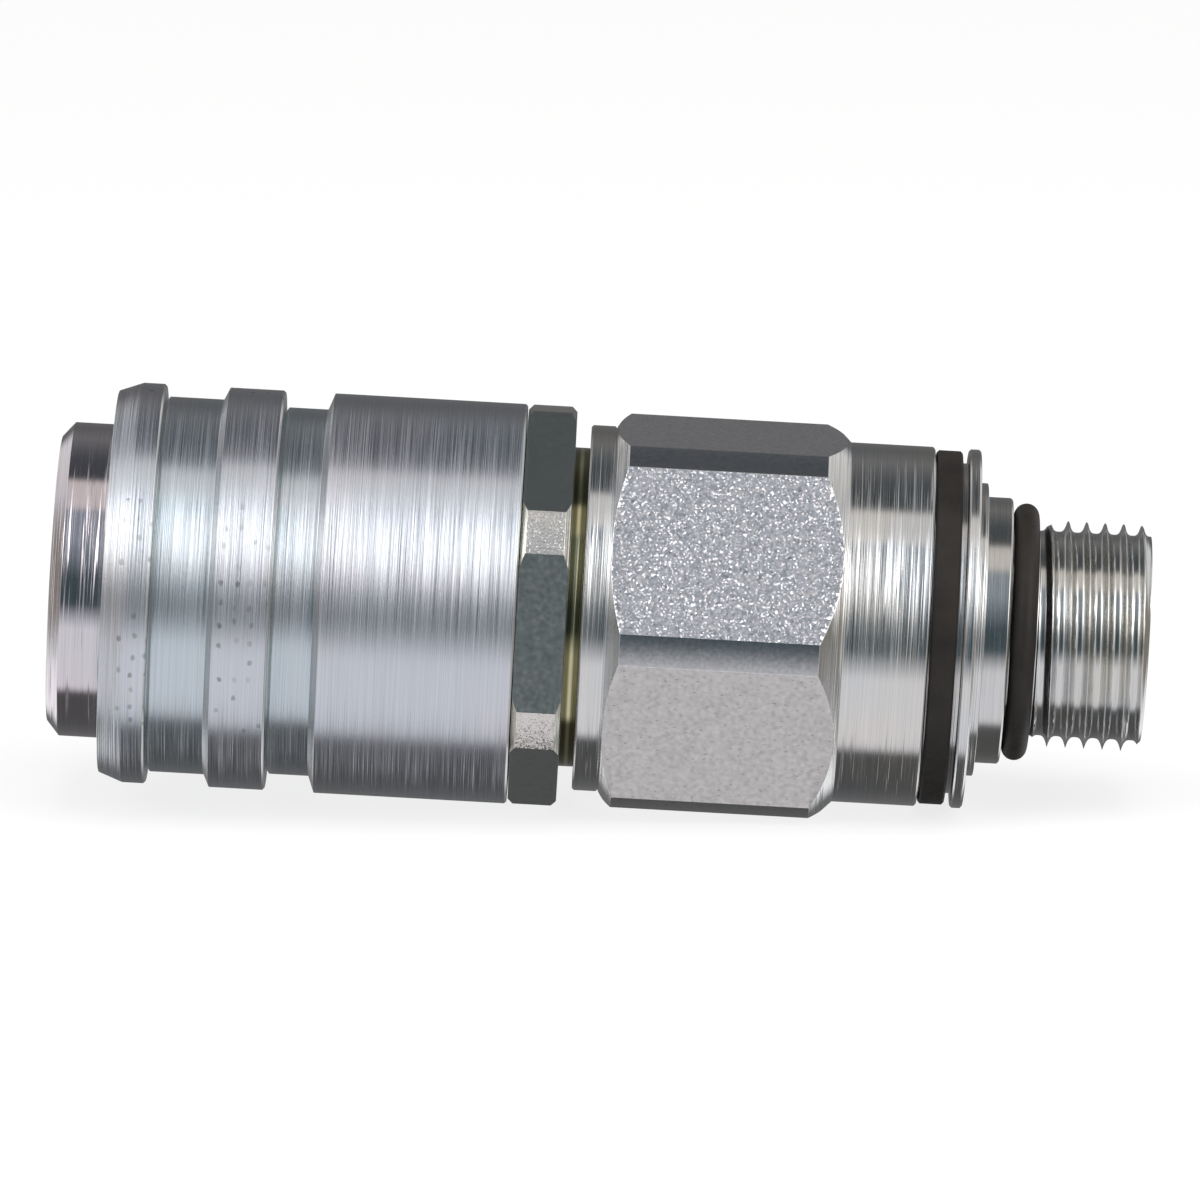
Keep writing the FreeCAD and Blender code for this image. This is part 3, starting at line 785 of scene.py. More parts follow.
# %% Lock sleeve
sleeve_low, sleeve_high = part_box("lock_sleeve")
SLEEVE_X = sleeve_low.x / MM
SLEEVE_END = sleeve_high.x / MM
SLEEVE_R = sleeve_high.z / MM
BODY_R = 15.4
SLIDING_FIT = 0.05
SPRING_ROOM_R = 17.2
SHOULDER_X = 19.5
FRONT_EDGE_R = 18.74
FRONT_TAPER = 2.35
FRONT_FLANGE = 4.6
FINGER_GROOVE = 5.7
FINGER_GROOVE_R = 18.41
MIDDLE_FLANGE = 6.0
MIDDLE_SLANT = 0.55
NARROW_GROOVE = 4.25
NARROW_GROOVE_R = 18.0
GRIP_SLANT = 0.6
NOTCH_LENGTH = 0.4          # undercut behind each flange
NOTCH_DEPTH = 0.65
EDGE_BREAK = 0.2
RECESS_X = 28.16            # room for the risen balls
RECESS_END = 29.98
RECESS_R = 17.1
RAMP_X = 22.06


def sleeve_outline():
    groove_a = SLEEVE_X + FRONT_FLANGE
    flange_b = groove_a + FINGER_GROOVE
    groove_b = flange_b + MIDDLE_FLANGE
    grip = groove_b + NARROW_GROOVE
    land_r = BODY_R + SLIDING_FIT
    return [
        (SLEEVE_X, FRONT_EDGE_R),
        (SLEEVE_X + FRONT_TAPER, SLEEVE_R),
        (groove_a - EDGE_BREAK, SLEEVE_R),
        (groove_a, SLEEVE_R - EDGE_BREAK),
        (groove_a, FINGER_GROOVE_R - NOTCH_DEPTH),
        (groove_a + NOTCH_LENGTH, FINGER_GROOVE_R),
        (flange_b, FINGER_GROOVE_R),
        (flange_b + MIDDLE_SLANT, SLEEVE_R),
        (groove_b - EDGE_BREAK, SLEEVE_R),
        (groove_b, SLEEVE_R - EDGE_BREAK),
        (groove_b, NARROW_GROOVE_R - NOTCH_DEPTH),
        (groove_b + NOTCH_LENGTH, NARROW_GROOVE_R),
        (grip, NARROW_GROOVE_R),
        (grip + GRIP_SLANT, SLEEVE_R),
        (SLEEVE_END - EDGE_BREAK, SLEEVE_R),
        (SLEEVE_END, SLEEVE_R - EDGE_BREAK),
        (SLEEVE_END, land_r + EDGE_BREAK),
        (SLEEVE_END - EDGE_BREAK, land_r),
        (RECESS_END + RECESS_R - land_r, land_r),
        (RECESS_END, RECESS_R),
        (RECESS_X, RECESS_R),
        (RAMP_X, land_r),
        (SHOULDER_X, land_r),
        (SHOULDER_X, SPRING_ROOM_R),
        (SLEEVE_X + EDGE_BREAK, SPRING_ROOM_R),
        (SLEEVE_X, SPRING_ROOM_R + EDGE_BREAK),
    ]


sleeve = settle(turned_mesh("sleeve_shell", rounded(sleeve_outline())))
dress(sleeve, "lock_sleeve", "lock_sleeve", sleeve_steel)

# %% [markdown]
# ## The socket body
# The nose, the narrow hexagon, the neck and the spigot inside the adapter are one turned piece
# that runs through the sleeve. Its bore steps down from the mouth to the valve. After turning,
# eight pockets are drilled from outside, each with a round bottom that stops its ball. A Boolean
# modifier drills them here too.

# %% Body outline
body_low, body_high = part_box("socket_body")
adapter_low, adapter_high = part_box("port_adapter")
ADAPTER_X = adapter_low.x / MM
SPIGOT_END = body_high.x / MM
NOSE_FACE_R = 14.0
NOSE_CHAMFER = 1.2
MOUTH_R = 12.1
MOUTH_LEAD = 0.5
MOUTH_DEPTH = 19.5
SNAP_GROOVE = (7.05, 8.15, 14.5)        # start, end and floor of each groove
SPIGOT_GROOVE = (53.2, 56.07, 13.3)
GUIDE_GROOVE = (59.0, 60.04, 12.9)
TIP_GROOVE = (28.6, 31.86, 12.3)
BODY_HEX_X = 45.47
NECK_X = 50.23
NECK_R = 15.65
HEX_FLATS = 36.0
BODY_HEX_TURN = -2.45
BODY_HEX_CHAMFER = 0.5
SPIGOT_R = 15.0
SPIGOT_CHAMFER = 0.4
GUIDE_X = 56.5
GUIDE_BORE_R = 12.2
CHAMBER_R = 11.5
SEAT_X = 37.5
THROAT_R = 7.5
TIP_BORE_X = 26.5
TIP_BORE_END = 34.5
TIP_BORE_R = 10.3
TIP_STEP = 0.6
BALL_BORE_R = 11.85
BALL_PLANE_X = 22.5
BALL_R = 2.38125
POCKET_R = 2.43125
POCKET_OVERRUN = 1.0
BALLS = 8

body_hexagon = (BODY_HEX_X, NECK_X, HEX_FLATS, BODY_HEX_TURN)


def square_groove(groove, surface_r):
    """Four corners of a ring groove, from its start to its end."""
    start, end, floor_r = groove
    return [(start, surface_r), (start, floor_r), (end, floor_r), (end, surface_r)]


def body_outline():
    outside = [(0.0, MOUTH_R + MOUTH_LEAD), (0.0, NOSE_FACE_R), (NOSE_CHAMFER, BODY_R)]
    outside += square_groove(SNAP_GROOVE, BODY_R)
    outside += [
        (BODY_HEX_X, BODY_R),
        (BODY_HEX_X, SLEEVE_R - BODY_HEX_CHAMFER),
        (BODY_HEX_X + BODY_HEX_CHAMFER, SLEEVE_R),
        (NECK_X - BODY_HEX_CHAMFER, SLEEVE_R),
        (NECK_X, SLEEVE_R - BODY_HEX_CHAMFER),
        (NECK_X, NECK_R),
        (ADAPTER_X, NECK_R),
        (ADAPTER_X, SPIGOT_R),
    ]
    outside += square_groove(SPIGOT_GROOVE, SPIGOT_R)
    outside += [(SPIGOT_END - SPIGOT_CHAMFER, SPIGOT_R), (SPIGOT_END, SPIGOT_R - SPIGOT_CHAMFER)]
    inside = [(SPIGOT_END, GUIDE_BORE_R)]
    inside += square_groove(GUIDE_GROOVE, GUIDE_BORE_R)[::-1]
    inside += [
        (GUIDE_X, GUIDE_BORE_R),
        (GUIDE_X, CHAMBER_R),
        (SEAT_X + CHAMBER_R - THROAT_R, CHAMBER_R),
        (SEAT_X, THROAT_R),
        (TIP_BORE_END + EDGE_BREAK, THROAT_R),
        (TIP_BORE_END, THROAT_R + EDGE_BREAK),
        (TIP_BORE_END, TIP_BORE_R),
    ]
    inside += square_groove(TIP_GROOVE, TIP_BORE_R)[::-1]
    inside += [
        (TIP_BORE_X + TIP_STEP, TIP_BORE_R),
        (TIP_BORE_X, TIP_BORE_R + TIP_STEP),
        (TIP_BORE_X, BALL_BORE_R),
        (MOUTH_DEPTH + MOUTH_R - BALL_BORE_R, BALL_BORE_R),
        (MOUTH_DEPTH, MOUTH_R),
        (MOUTH_LEAD, MOUTH_R),
    ]
    return outside + inside


# %% Ball pockets and the finished body
POCKET_STEPS = 32
POCKET_RINGS = 8


def pocket_drills():
    """Round-ended drills, one for each ball, as one mesh."""
    mesh = bmesh.new()
    profile = []
    for step in range(POCKET_RINGS):
        lift = math.radians(-90 + 90 * step / POCKET_RINGS)
        profile.append((POCKET_R * math.cos(lift), POCKET_R * math.sin(lift)))
    profile += [(POCKET_R, 0.0), (POCKET_R, BALL_R + POCKET_OVERRUN), (0.0, BALL_R + POCKET_OVERRUN)]
    for number in range(BALLS):
        turn = Matrix.Rotation(math.radians(90 + 360 / BALLS * number), 4, "X")
        rings = []
        for across, height in profile:
            ring = []
            for step in range(POCKET_STEPS):
                angle = 2 * math.pi * step / POCKET_STEPS
                place = Vector((across * math.cos(angle), BODY_R - BALL_R + height, across * math.sin(angle)))
                place.x += BALL_PLANE_X
                ring.append(mesh.verts.new(turn @ place * MM))
            rings.append(ring)
        for first, second in zip(rings, rings[1:]):
            for k in range(POCKET_STEPS):
                after = (k + 1) % POCKET_STEPS
                mesh.faces.new((first[k], first[after], second[after], second[k]))
    bmesh.ops.remove_doubles(mesh, verts=mesh.verts, dist=1e-8)
    bmesh.ops.recalc_face_normals(mesh, faces=mesh.faces)
    return link("pocket_drills", mesh)


body = turned_mesh("body_shell", rounded(body_outline()), body_hexagon)
print("milled edges on the body:", bevel_milled_edges(body, body_hexagon))
drills = pocket_drills()
drilling = body.modifiers.new("ball pockets", "BOOLEAN")
drilling.operation = "DIFFERENCE"
drilling.solver = "EXACT"
drilling.object = drills
body = settle(body)
bpy.data.objects.remove(drills)
dress(body, "socket_body", "coupler_body", body_steel)

# %% [markdown]
# ### Flats and corners in their own skin
# A face belongs to a flat when it points away from the axis in exactly a flat's direction and
# lies at the flat's distance. What is left of the hexagon at its full radius is a corner. The
# first three flats, counted from the one that looks up, keep another skin than the rest.

# %% Finishes of a hexagon
SAME_WAY = 0.9999           # cosine between a flat and a face that lies on it
SAME_PLANE = 2e-5           # and how far off its plane the face may be, in metres
CORNER_WAY = 0.9


def flat_side(face, milled):
    """Number of the flat that a face lies on, or None."""
    low, high, across, turn = milled
    if not low * MM <= face.center.x <= high * MM:
        return None
    for side in range(6):
        angle = math.radians(turn + 60 * side)
        out = Vector((0, math.cos(angle), math.sin(angle)))
        off_plane = abs(face.center.dot(out) - across / 2 * MM)
        if face.normal.dot(out) > SAME_WAY and off_plane < SAME_PLANE:
            return side
    return None


def paint_hexagon(piece, milled, flats, corners=None):
    """Give the flats their materials, by side, and the turned corners one of their own."""
    slots = {}
    for material in set(flats.values()) | ({corners} if corners else set()):
        piece.data.materials.append(material)
        slots[material.name] = len(piece.data.materials) - 1
    low, high = milled[0] * MM, milled[1] * MM
    painted = 0
    for face in piece.data.polygons:
        side = flat_side(face, milled)
        if side is not None and side in flats:
            face.material_index = slots[flats[side].name]
            painted += 1
        elif corners and side is None and low < face.center.x < high:
            out = Vector((0, face.center.y, face.center.z))
            if out.length > milled[2] / 2 * MM and face.normal.dot(out.normalized()) > CORNER_WAY:
                face.material_index = slots[corners.name]
    return painted


milled_sides = {side: milled_steel for side in range(6)}
print("flat faces of the body:", paint_hexagon(body, body_hexagon, milled_sides, corner_steel))

# %% [markdown]
# ## The port adapter
# One bar becomes collar, hexagon, barrel, seal groove, rim, seat and thread. The flats are
# milled with `hexagon_ring`, and the thread is cut afterwards by Geometry Nodes, as the real one
# is cut after turning.

# %% Adapter outline
PORT_END = adapter_high.x / MM
SPIGOT_BORE_R = 15.05
COLLAR_R = 17.93
COLLAR = 2.55
BIG_HEX = 22.95
BIG_HEX_TURN = 30.0
BIG_HEX_CORNER_R = 19.95
FRONT_HEX_TAPER = 1.3
REAR_HEX_TAPER = 2.3
BARREL_R = 17.64
BARREL = 8.24
RING_GROOVE = 3.34
RING_GROOVE_R = 16.2
RIM_R = 17.61
RIM = 1.18
STEP_R = 14.37
STEP = 0.88
SEAT_R = 13.05
SEAT = 2.5
UNDERCUT_R = 10.1
UNDERCUT = 3.29
THREAD_R = 11.11
THREAD_CHAMFER = 1.0
BORE_R = 7.25
BORE_CHAMFER = 0.5
ADAPTER_CHAMBER_R = 11.0
ADAPTER_CHAMBER = (63.0, 72.0)
DRILL_POINT = 2.25

hex_start = ADAPTER_X + COLLAR
hex_end = hex_start + BIG_HEX
groove_start = hex_end + BARREL
rim_start = groove_start + RING_GROOVE
step_start = rim_start + RIM
seat_start = step_start + STEP
undercut_start = seat_start + SEAT
thread_start = undercut_start + UNDERCUT
big_hexagon = (hex_start, hex_end, HEX_FLATS, BIG_HEX_TURN)


def adapter_outline():
    chamber_start, chamber_end = ADAPTER_CHAMBER
    return [
        (ADAPTER_X, COLLAR_R - EDGE_BREAK),
        (ADAPTER_X + EDGE_BREAK, COLLAR_R),
        (hex_start - EDGE_BREAK, COLLAR_R),
        (hex_start, COLLAR_R - EDGE_BREAK),
        (hex_start + 0.02, COLLAR_R),
        (hex_start + FRONT_HEX_TAPER, BIG_HEX_CORNER_R),
        (hex_end - REAR_HEX_TAPER, BIG_HEX_CORNER_R),
        (hex_end, BARREL_R),
        (groove_start - EDGE_BREAK, BARREL_R),
        (groove_start, BARREL_R - EDGE_BREAK),
        (groove_start, RING_GROOVE_R),
        (rim_start, RING_GROOVE_R),
        (rim_start, RIM_R - EDGE_BREAK),
        (rim_start + EDGE_BREAK, RIM_R),
        (step_start - EDGE_BREAK, RIM_R),
        (step_start, RIM_R - EDGE_BREAK),
        (step_start, STEP_R),
        (seat_start, STEP_R),
        (seat_start, SEAT_R),
        (undercut_start - EDGE_BREAK, SEAT_R),
        (undercut_start, SEAT_R - EDGE_BREAK),
        (undercut_start, UNDERCUT_R),
        (thread_start - (THREAD_R - UNDERCUT_R) / 2, UNDERCUT_R),
        (thread_start, THREAD_R),
        (PORT_END - THREAD_CHAMFER, THREAD_R),
        (PORT_END, THREAD_R - THREAD_CHAMFER),
        (PORT_END, BORE_R + BORE_CHAMFER),
        (PORT_END - BORE_CHAMFER, BORE_R),
        (chamber_end + DRILL_POINT, BORE_R),
        (chamber_end, ADAPTER_CHAMBER_R),
        (chamber_start, ADAPTER_CHAMBER_R),
        (chamber_start, SPIGOT_BORE_R),
        (ADAPTER_X, SPIGOT_BORE_R),
    ]


THREAD_ROW = 0.06
TAPER_ROW = 0.12
THREAD_RUN_IN = 0.5
points = rounded(adapter_outline())
points = with_rows(points, hex_start, hex_start + FRONT_HEX_TAPER, TAPER_ROW)
points = with_rows(points, hex_end - REAR_HEX_TAPER, hex_end, TAPER_ROW)
points = with_rows(points, thread_start - THREAD_RUN_IN, PORT_END, THREAD_ROW)
adapter = turned_mesh("adapter_shell", points, big_hexagon)
print("adapter rings:", len(points), "milled edges:", bevel_milled_edges(adapter, big_hexagon))

# %% [markdown]
# ### Cutting the thread
# A screw thread is one rule: the groove's depth depends only on how far a point is from the crest
# that winds past it. The phase is x / pitch minus the turn around the axis. Its distance from the
# middle of the root, raised to a power, gives a wide round root and a narrow crest. Geometry Nodes
# move each point of the blank inwards by it. The outline's end chamfer stays, because no point is
# ever moved outwards.

# %% Thread tree
THREAD_PITCH = 1.814
THREAD_DEPTH = 1.08
THREAD_PHASE = 0.298        # share of a turn that sets where the crests come out on top
ROOT_POWER = 3.2


def inputs_of(tree, sizes):
    """Give a geometry tree its way in and out, with one number for each named size."""
    tree.interface.new_socket("Geometry", in_out="INPUT", socket_type="NodeSocketGeometry")
    for name in sizes:
        tree.interface.new_socket(name, in_out="INPUT", socket_type="NodeSocketFloat")
    tree.interface.new_socket("Geometry", in_out="OUTPUT", socket_type="NodeSocketGeometry")
    return tree.nodes.new("NodeGroupInput"), tree.nodes.new("NodeGroupOutput")


def make_real(tree, geometry, material, leave):
    """End a tree in real geometry that wears its steel."""
    real = put(tree, "GeometryNodeRealizeInstances", {"Geometry": geometry})
    steel = put(tree, "GeometryNodeSetMaterial", {"Geometry": real.outputs[0]})
    steel.inputs["Material"].default_value = material
    tree.links.new(steel.outputs[0], leave.inputs[0])


def thread_tree():
    """Moves the points of a turned blank inwards to the flanks of a thread."""
    tree = bpy.data.node_groups.new("cut_thread", "GeometryNodeTree")
    sizes = ("Pitch", "Depth", "Outside", "Start", "Run in", "Phase", "Power", "Inner limit")
    enter, leave = inputs_of(tree, sizes)
    spot = put(tree, "GeometryNodeInputPosition").outputs[0]
    x, y, z = put(tree, "ShaderNodeSeparateXYZ", {0: spot}).outputs
    radius = vectors(tree, "LENGTH", joined(tree, 0.0, y, z))
    turn = sums(tree, "DIVIDE", sums(tree, "ARCTAN2", z, y), 2 * math.pi)
    turn = plus(tree, turn, enter.outputs["Phase"])
    wound = minus(tree, sums(tree, "DIVIDE", x, enter.outputs["Pitch"]), turn)
    phase = sums(tree, "FRACT", wound)
    from_root = sums(tree, "ABSOLUTE", minus(tree, times(tree, phase, 2.0), 1.0))
    rise = sums(tree, "POWER", from_root, enter.outputs["Power"])
    depth = enter.outputs["Depth"]
    root_r = minus(tree, enter.outputs["Outside"], depth)
    cut_r = plus(tree, root_r, times(tree, times(tree, rise, 1.08), depth))
    entered = minus(tree, x, enter.outputs["Start"])
    entered = sums(tree, "DIVIDE", times(tree, entered, depth), enter.outputs["Run in"])
    cut_r = sums(tree, "MINIMUM", cut_r, plus(tree, root_r, entered))
    share = sums(tree, "DIVIDE", sums(tree, "MINIMUM", radius, cut_r), radius)
    moved = joined(tree, x, times(tree, y, share), times(tree, z, share))
    beyond = sums(tree, "GREATER_THAN", x, enter.outputs["Start"])
    outside = sums(tree, "GREATER_THAN", radius, enter.outputs["Inner limit"])
    chosen = times(tree, beyond, outside)
    inputs = {"Geometry": enter.outputs[0], "Selection": chosen, "Position": moved}
    placed = put(tree, "GeometryNodeSetPosition", inputs)
    make_real(tree, placed.outputs[0], adapter_steel, leave)
    return tree


def set_inputs(modifier, values):
    """Set a node modifier's inputs by their sockets' identifiers."""
    for item in modifier.node_group.interface.items_tree:
        if item.item_type == "SOCKET" and item.in_out == "INPUT" and item.name in values:
            modifier[item.identifier] = values[item.name]


# %% Cut the thread
cutter = adapter.modifiers.new("cut thread", "NODES")
cutter.node_group = thread_tree()
set_inputs(
    cutter,
    {
        "Pitch": THREAD_PITCH * MM,
        "Depth": THREAD_DEPTH * MM,
        "Outside": THREAD_R * MM,
        "Start": (thread_start - THREAD_RUN_IN) * MM,
        "Run in": THREAD_PITCH * MM,
        "Phase": THREAD_PHASE,
        "Power": ROOT_POWER,
        "Inner limit": (BORE_R + BORE_CHAMFER + 0.2) * MM,
    },
)
adapter = settle(adapter)
dress(adapter, "port_adapter", "coupler_body", adapter_steel)
big_sides = {0: hex_steel, 1: hex_steel, 2: hex_steel, 3: worn_steel, 4: worn_steel, 5: worn_steel}
print("flat faces of the adapter:", paint_hexagon(adapter, big_hexagon, big_sides, drawn_steel))

adapter.data.materials.append(thread_steel)
for face in adapter.data.polygons:
    from_axis = math.hypot(face.center.y, face.center.z)
    if face.center.x > seat_start * MM and from_axis > (BORE_R + BORE_CHAMFER) * MM:
        face.material_index = len(adapter.data.materials) - 1

# %% [markdown]
# ## Springs
# A coil spring is a rule too: a point that climbs evenly while it turns. Geometry Nodes bend a
# straight line into that helix, sweep a round wire along it, and then press the two ends flat, as
# they are ground on the real spring.

# %% Spring tree
WIRE_SIDES = 14
STEPS_PER_COIL = 56


def spring_tree():
    """Winds a wire between two planes across the axis."""
    tree = bpy.data.node_groups.new("wind_spring", "GeometryNodeTree")
    enter, leave = inputs_of(tree, ("Start", "End", "Mean radius", "Wire", "Coils"))
    count = times(tree, enter.outputs["Coils"], STEPS_PER_COIL)
    line = put(tree, "GeometryNodeCurvePrimitiveLine").outputs[0]
    line = put(tree, "GeometryNodeResampleCurve", {"Curve": line, "Count": count}).outputs[0]
    share = put(tree, "GeometryNodeSplineParameter").outputs["Factor"]
    angle = times(tree, times(tree, share, enter.outputs["Coils"]), 2 * math.pi)
    mean = enter.outputs["Mean radius"]
    y = times(tree, sums(tree, "COSINE", angle), mean)
    z = times(tree, sums(tree, "SINE", angle), mean)
    x = mapped(tree, share, 0.0, 1.0, enter.outputs["Start"], enter.outputs["End"])
    place = {"Geometry": line, "Position": joined(tree, x, y, z)}
    path = put(tree, "GeometryNodeSetPosition", place).outputs[0]
    half_wire = times(tree, enter.outputs["Wire"], 0.5)
    section = put(tree, "GeometryNodeCurvePrimitiveCircle", {"Resolution": WIRE_SIDES, "Radius": half_wire})
    sweep = {"Curve": path, "Profile Curve": section.outputs[0], "Fill Caps": True}
    wound = put(tree, "GeometryNodeCurveToMesh", sweep).outputs[0]
    spot = put(tree, "GeometryNodeInputPosition").outputs[0]
    x, y, z = put(tree, "ShaderNodeSeparateXYZ", {0: spot}).outputs
    ground = sums(tree, "MINIMUM", sums(tree, "MAXIMUM", x, enter.outputs["Start"]), enter.outputs["End"])
    flat = {"Geometry": wound, "Position": joined(tree, ground, y, z)}
    make_real(tree, put(tree, "GeometryNodeSetPosition", flat).outputs[0], wire_steel, leave)
    return tree


def wind_spring(node, tree, mean_r, wire, coils):
    """A spring between the two planes that its node touches."""
    low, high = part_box(node)
    name = node.replace("_spring", "_coil")
    spring = link(name, bmesh.new())
    winding = spring.modifiers.new("wind", "NODES")
    winding.node_group = tree
    sizes = {"Start": low.x, "End": high.x, "Mean radius": mean_r * MM, "Wire": wire * MM, "Coils": coils}
    set_inputs(winding, sizes)
    bpy.context.view_layer.update()
    graph = bpy.context.evaluated_depsgraph_get()
    spring.data = bpy.data.meshes.new_from_object(spring.evaluated_get(graph))
    spring.modifiers.clear()
    spring.data.polygons.foreach_set("use_smooth", [True] * len(spring.data.polygons))
    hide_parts(node)
    print(name, "has", len(spring.data.polygons), "faces")
    return spring, low, high


# %% Wind both springs
winding = spring_tree()
spring, low, high = wind_spring("sleeve_spring", winding, mean_r=16.3, wire=1.4, coils=3.5)
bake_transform(spring)
spring, low, high = wind_spring("poppet_spring", winding, mean_r=7.4, wire=1.8, coils=4.0)
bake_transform(spring)

# %% [markdown]
# ## Pieces that keep their measured mesh
# The seals, the balls, the valve with its guide, and the small rings are right as they are. Each
# gets the finish of its stuff.

# %% Dress the other nodes
finishes = {
    washer_steel: ["sleeve_washer"],
    wire_steel: ["sleeve_snap_ring", "guide_snap_ring"],
    rubber: ["tip_seal", "poppet_seal", "body_o_ring", "collar_seal", "port_o_ring"],
    support: ["tip_backup_ring", "body_backup_ring"],
    valve_steel: ["valve_poppet", "valve_guide"],
    ball_steel: ["lock_ball_" + str(number + 1) for number in range(BALLS)],
}
for material, nodes in finishes.items():
    for node in nodes:
        shape = frame["nodes"][node]
        shape.data.materials.clear()
        shape.data.materials.append(material)
    print(material.name, "on", len(nodes), "nodes")

# %% [markdown]
# ## The studio
# Polished metal has no look of its own: it shows the room. The room here is a world that depends
# only on direction. In the middle, above the camera, hangs a narrow warm band, below it lies a
# white table, and the space between them is dark. Two large softboxes stand left and right of the
# camera. A smooth cylinder sees only the middle and comes out in sharp bands. A brushed one also
# catches the side lights and turns bright. The camera itself sees plain white.

# %% World
DARK = (0.048, 0.072, 0.084, 1)
SKY = (0.25, 0.29, 0.33, 1)
BAND = (0.63, 0.60, 0.57, 1)
TABLE = (0.745, 0.735, 0.755, 1)
END_WALL = (0.24, 0.22, 0.19, 1)
MIDDLE_BANDS = [
    (-180, gray(0.14)), (-160, gray(0.16)), (-120, gray(0.09)), (-82, gray(0.085)),
    (-75, TABLE), (-25, TABLE), (-7, DARK), (13, DARK), (40, SKY), (62, SKY), (67, BAND),
    (87, BAND), (92, gray(0.06, -0.1)), (113, gray(0.08, -0.1)), (138, gray(0.17)),
    (160, gray(0.12)), (180, gray(0.14)),
]
SIDE_BANDS = [
    (-180, gray(0.8)), (-150, gray(1.0)), (-122, gray(1.0)), (-100, gray(0.35)), (-84, gray(0.3)),
    (-72, gray(0.75)), (-26, gray(0.75)), (-12, gray(0.6)), (0, gray(0.5)), (11, gray(0.8)),
    (24, gray(1.75, 0.03)), (36, gray(2.7, 0.03)), (47, gray(3.0, 0.03)), (58, gray(2.8, 0.03)),
    (65, gray(2.4)), (72, gray(1.55)), (80, gray(1.0)), (92, gray(0.95)), (104, gray(0.65)),
    (118, gray(0.5)), (140, gray(0.6)), (180, gray(0.8)),
]
SIDE_STARTS = (0.30, 0.46)      # share of the direction along X where the side lights come in
END_STARTS = (0.82, 0.95)       # and where they give way to the plain end walls


def band_ramp(tree, share, bands):
    """A colour ramp from bands given in degrees."""
    ramp = put(tree, "ShaderNodeValToRGB", {"Fac": share})
    elements = ramp.color_ramp.elements
    while len(elements) < len(bands):
        elements.new(0.5)
    for element, (degrees, colour) in zip(elements, bands):
        element.position = (degrees + 180) / 360
    for element, (degrees, colour) in zip(elements, bands):
        element.color = colour
    return ramp.outputs["Color"]


def studio_world():
    world = bpy.data.worlds.new("studio")
    world.use_nodes = True
    tree = world.node_tree
    tree.nodes.clear()
    way = put(tree, "ShaderNodeTexCoord").outputs["Generated"]
    parts = put(tree, "ShaderNodeSeparateXYZ", {0: way}).outputs
    forward = times(tree, parts["Y"], -1.0)
    angle = sums(tree, "ARCTAN2", parts["Z"], forward)
    share = mapped(tree, angle, -math.pi, math.pi, 0.0, 1.0)
    beside = sums(tree, "ABSOLUTE", parts["X"])
    to_side = mapped(tree, beside, SIDE_STARTS[0], SIDE_STARTS[1], 0.0, 1.0)
    to_end = mapped(tree, beside, END_STARTS[0], END_STARTS[1], 0.0, 1.0)
    room = mixed(tree, to_side, band_ramp(tree, share, MIDDLE_BANDS), band_ramp(tree, share, SIDE_BANDS))
    room = mixed(tree, to_end, room, END_WALL)
    seen = put(tree, "ShaderNodeLightPath").outputs["Is Camera Ray"]
    colour = mixed(tree, seen, room, (1, 1, 1, 1))
    light = put(tree, "ShaderNodeBackground", {"Color": colour, "Strength": 1.0})
    out = put(tree, "ShaderNodeOutputWorld")
    tree.links.new(light.outputs[0], out.inputs[0])
    return world


bpy.context.scene.world = studio_world()
bpy.context.scene.view_settings.view_transform = "Standard"
print("world:", bpy.context.scene.world.name)

# %% [markdown]
# ## Floor, lamps and camera
# The coupler lies on the rear edge of its sleeve and on the rim of the adapter, so in its own
# frame the table slopes by three degrees. The lamps light the table and the rubber. The camera
# looks from slightly above with a long lens, square to the axis.

# %% Floor
REST_EDGE_X = NECK_X - BODY_HEX_CHAMFER     # the edge that touches the table in front
REST_RIM_X = step_start - EDGE_BREAK        # and the rim that touches behind
FLOOR_HALF = 600.0
TABLE_WHITE = 0.86
TABLE_GLOW = 0.80           # how much of the table the camera sees as plain white

slope = (SLEEVE_R - RIM_R) / (REST_RIM_X - REST_EDGE_X)


def make_floor():
    mesh = bmesh.new()
    corners = []
    for x, y in ((-1, -1), (1, -1), (1, 1), (-1, 1)):
        height = -SLEEVE_R + slope * (x * FLOOR_HALF - REST_EDGE_X)
        corners.append(mesh.verts.new(Vector((x * FLOOR_HALF, y * FLOOR_HALF, height)) * MM))
    mesh.faces.new(corners)
    floor = link("table", mesh)
    material = bpy.data.materials.new("table_white")
    material.use_nodes = True
    tree = material.node_tree
    tree.nodes.clear()
    plain = put(tree, "ShaderNodeBsdfDiffuse", {"Color": gray(TABLE_WHITE)})
    glow = put(tree, "ShaderNodeEmission", {"Color": (1, 1, 1, 1), "Strength": 1.0})
    seen = put(tree, "ShaderNodeLightPath").outputs["Is Camera Ray"]
    share = times(tree, seen, TABLE_GLOW)
    mix = put(tree, "ShaderNodeMixShader", {0: share, 1: plain.outputs[0], 2: glow.outputs[0]})
    out = put(tree, "ShaderNodeOutputMaterial")
    tree.links.new(mix.outputs[0], out.inputs[0])
    floor.data.materials.append(material)
    floor.visible_glossy = False
    floor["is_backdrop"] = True
    return floor


make_floor()
print("table slope in degrees:", round(math.degrees(math.atan(slope)), 2))


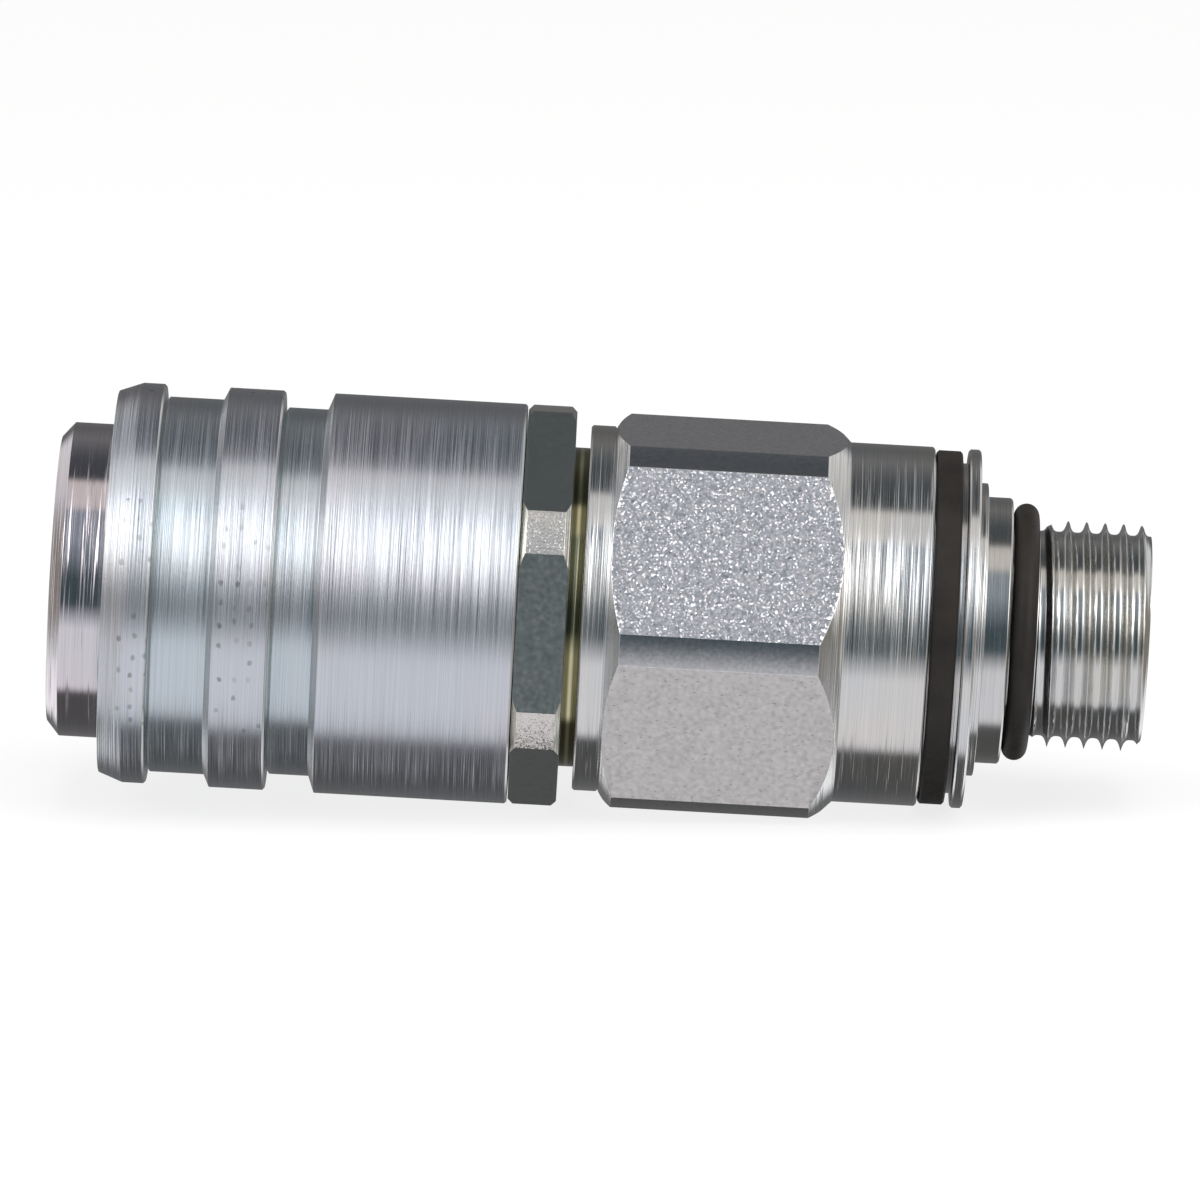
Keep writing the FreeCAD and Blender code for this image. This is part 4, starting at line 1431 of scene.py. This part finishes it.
# %% Lamps
def softbox(name, place, size, power):
    """A square lamp aimed at the middle of the coupler."""
    light = bpy.data.lights.new(name, "AREA")
    light.shape = "SQUARE"
    light.size = size
    light.energy = power
    lamp = bpy.data.objects.new(name, light)
    bpy.context.scene.collection.objects.link(lamp)
    lamp.location = place
    aim = Vector((0.053, 0, 0)) - Vector(place)
    lamp.rotation_mode = "QUATERNION"
    lamp.rotation_quaternion = aim.to_track_quat("-Z", "Y")
    lamp.visible_glossy = False
    return lamp


softbox("top_light", (0.05, -0.25, 0.7), 0.6, 5.0)
print("lamps placed")

# %% Camera
PIXELS = 1200
MM_PER_PIXEL = 0.0981
CENTRE_PIXEL = (600.4, 608.4)   # where the middle of the axis lies in the picture
AXIS_FALL = 3.19                # degrees that the axis falls to the right
ELEVATION = 11.3
DISTANCE = 1.25
SENSOR = 36.0


def place_camera():
    data = bpy.data.cameras.new("camera")
    camera = bpy.data.objects.new("camera", data)
    bpy.context.scene.collection.objects.link(camera)
    rise = math.radians(ELEVATION)
    roll = math.radians(AXIS_FALL)
    back = Vector((0, -math.cos(rise), math.sin(rise)))
    level_up = Vector((0, math.sin(rise), math.cos(rise)))
    level_right = Vector((1, 0, 0))
    right = level_right * math.cos(roll) + level_up * math.sin(roll)
    up = level_up * math.cos(roll) - level_right * math.sin(roll)
    middle = Vector(((cad_low.x + cad_high.x) / 2, 0, 0))
    shift_right = (PIXELS / 2 - CENTRE_PIXEL[0]) * MM_PER_PIXEL * MM
    shift_up = (CENTRE_PIXEL[1] - PIXELS / 2) * MM_PER_PIXEL * MM
    aim = middle + right * shift_right + up * shift_up
    data.sensor_width = SENSOR
    data.lens = SENSOR * DISTANCE / (PIXELS * MM_PER_PIXEL * MM)
    data.clip_start = 0.05
    data.clip_end = 20.0
    camera.location = aim + back * DISTANCE
    camera.rotation_mode = "QUATERNION"
    camera.rotation_quaternion = Matrix((right, up, back)).transposed().to_quaternion()
    bpy.context.scene.camera = camera
    return camera


camera = place_camera()
print("lens in mm:", round(camera.data.lens, 1))

# %% [markdown]
# ## The size of the dressed coupler
# The box of the dressed coupler is printed in millimetres, next to the measured box printed at the start.

# %% Finish
low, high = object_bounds()
print("visual box in mm:", [round(v * 1000, 2) for v in high - low])
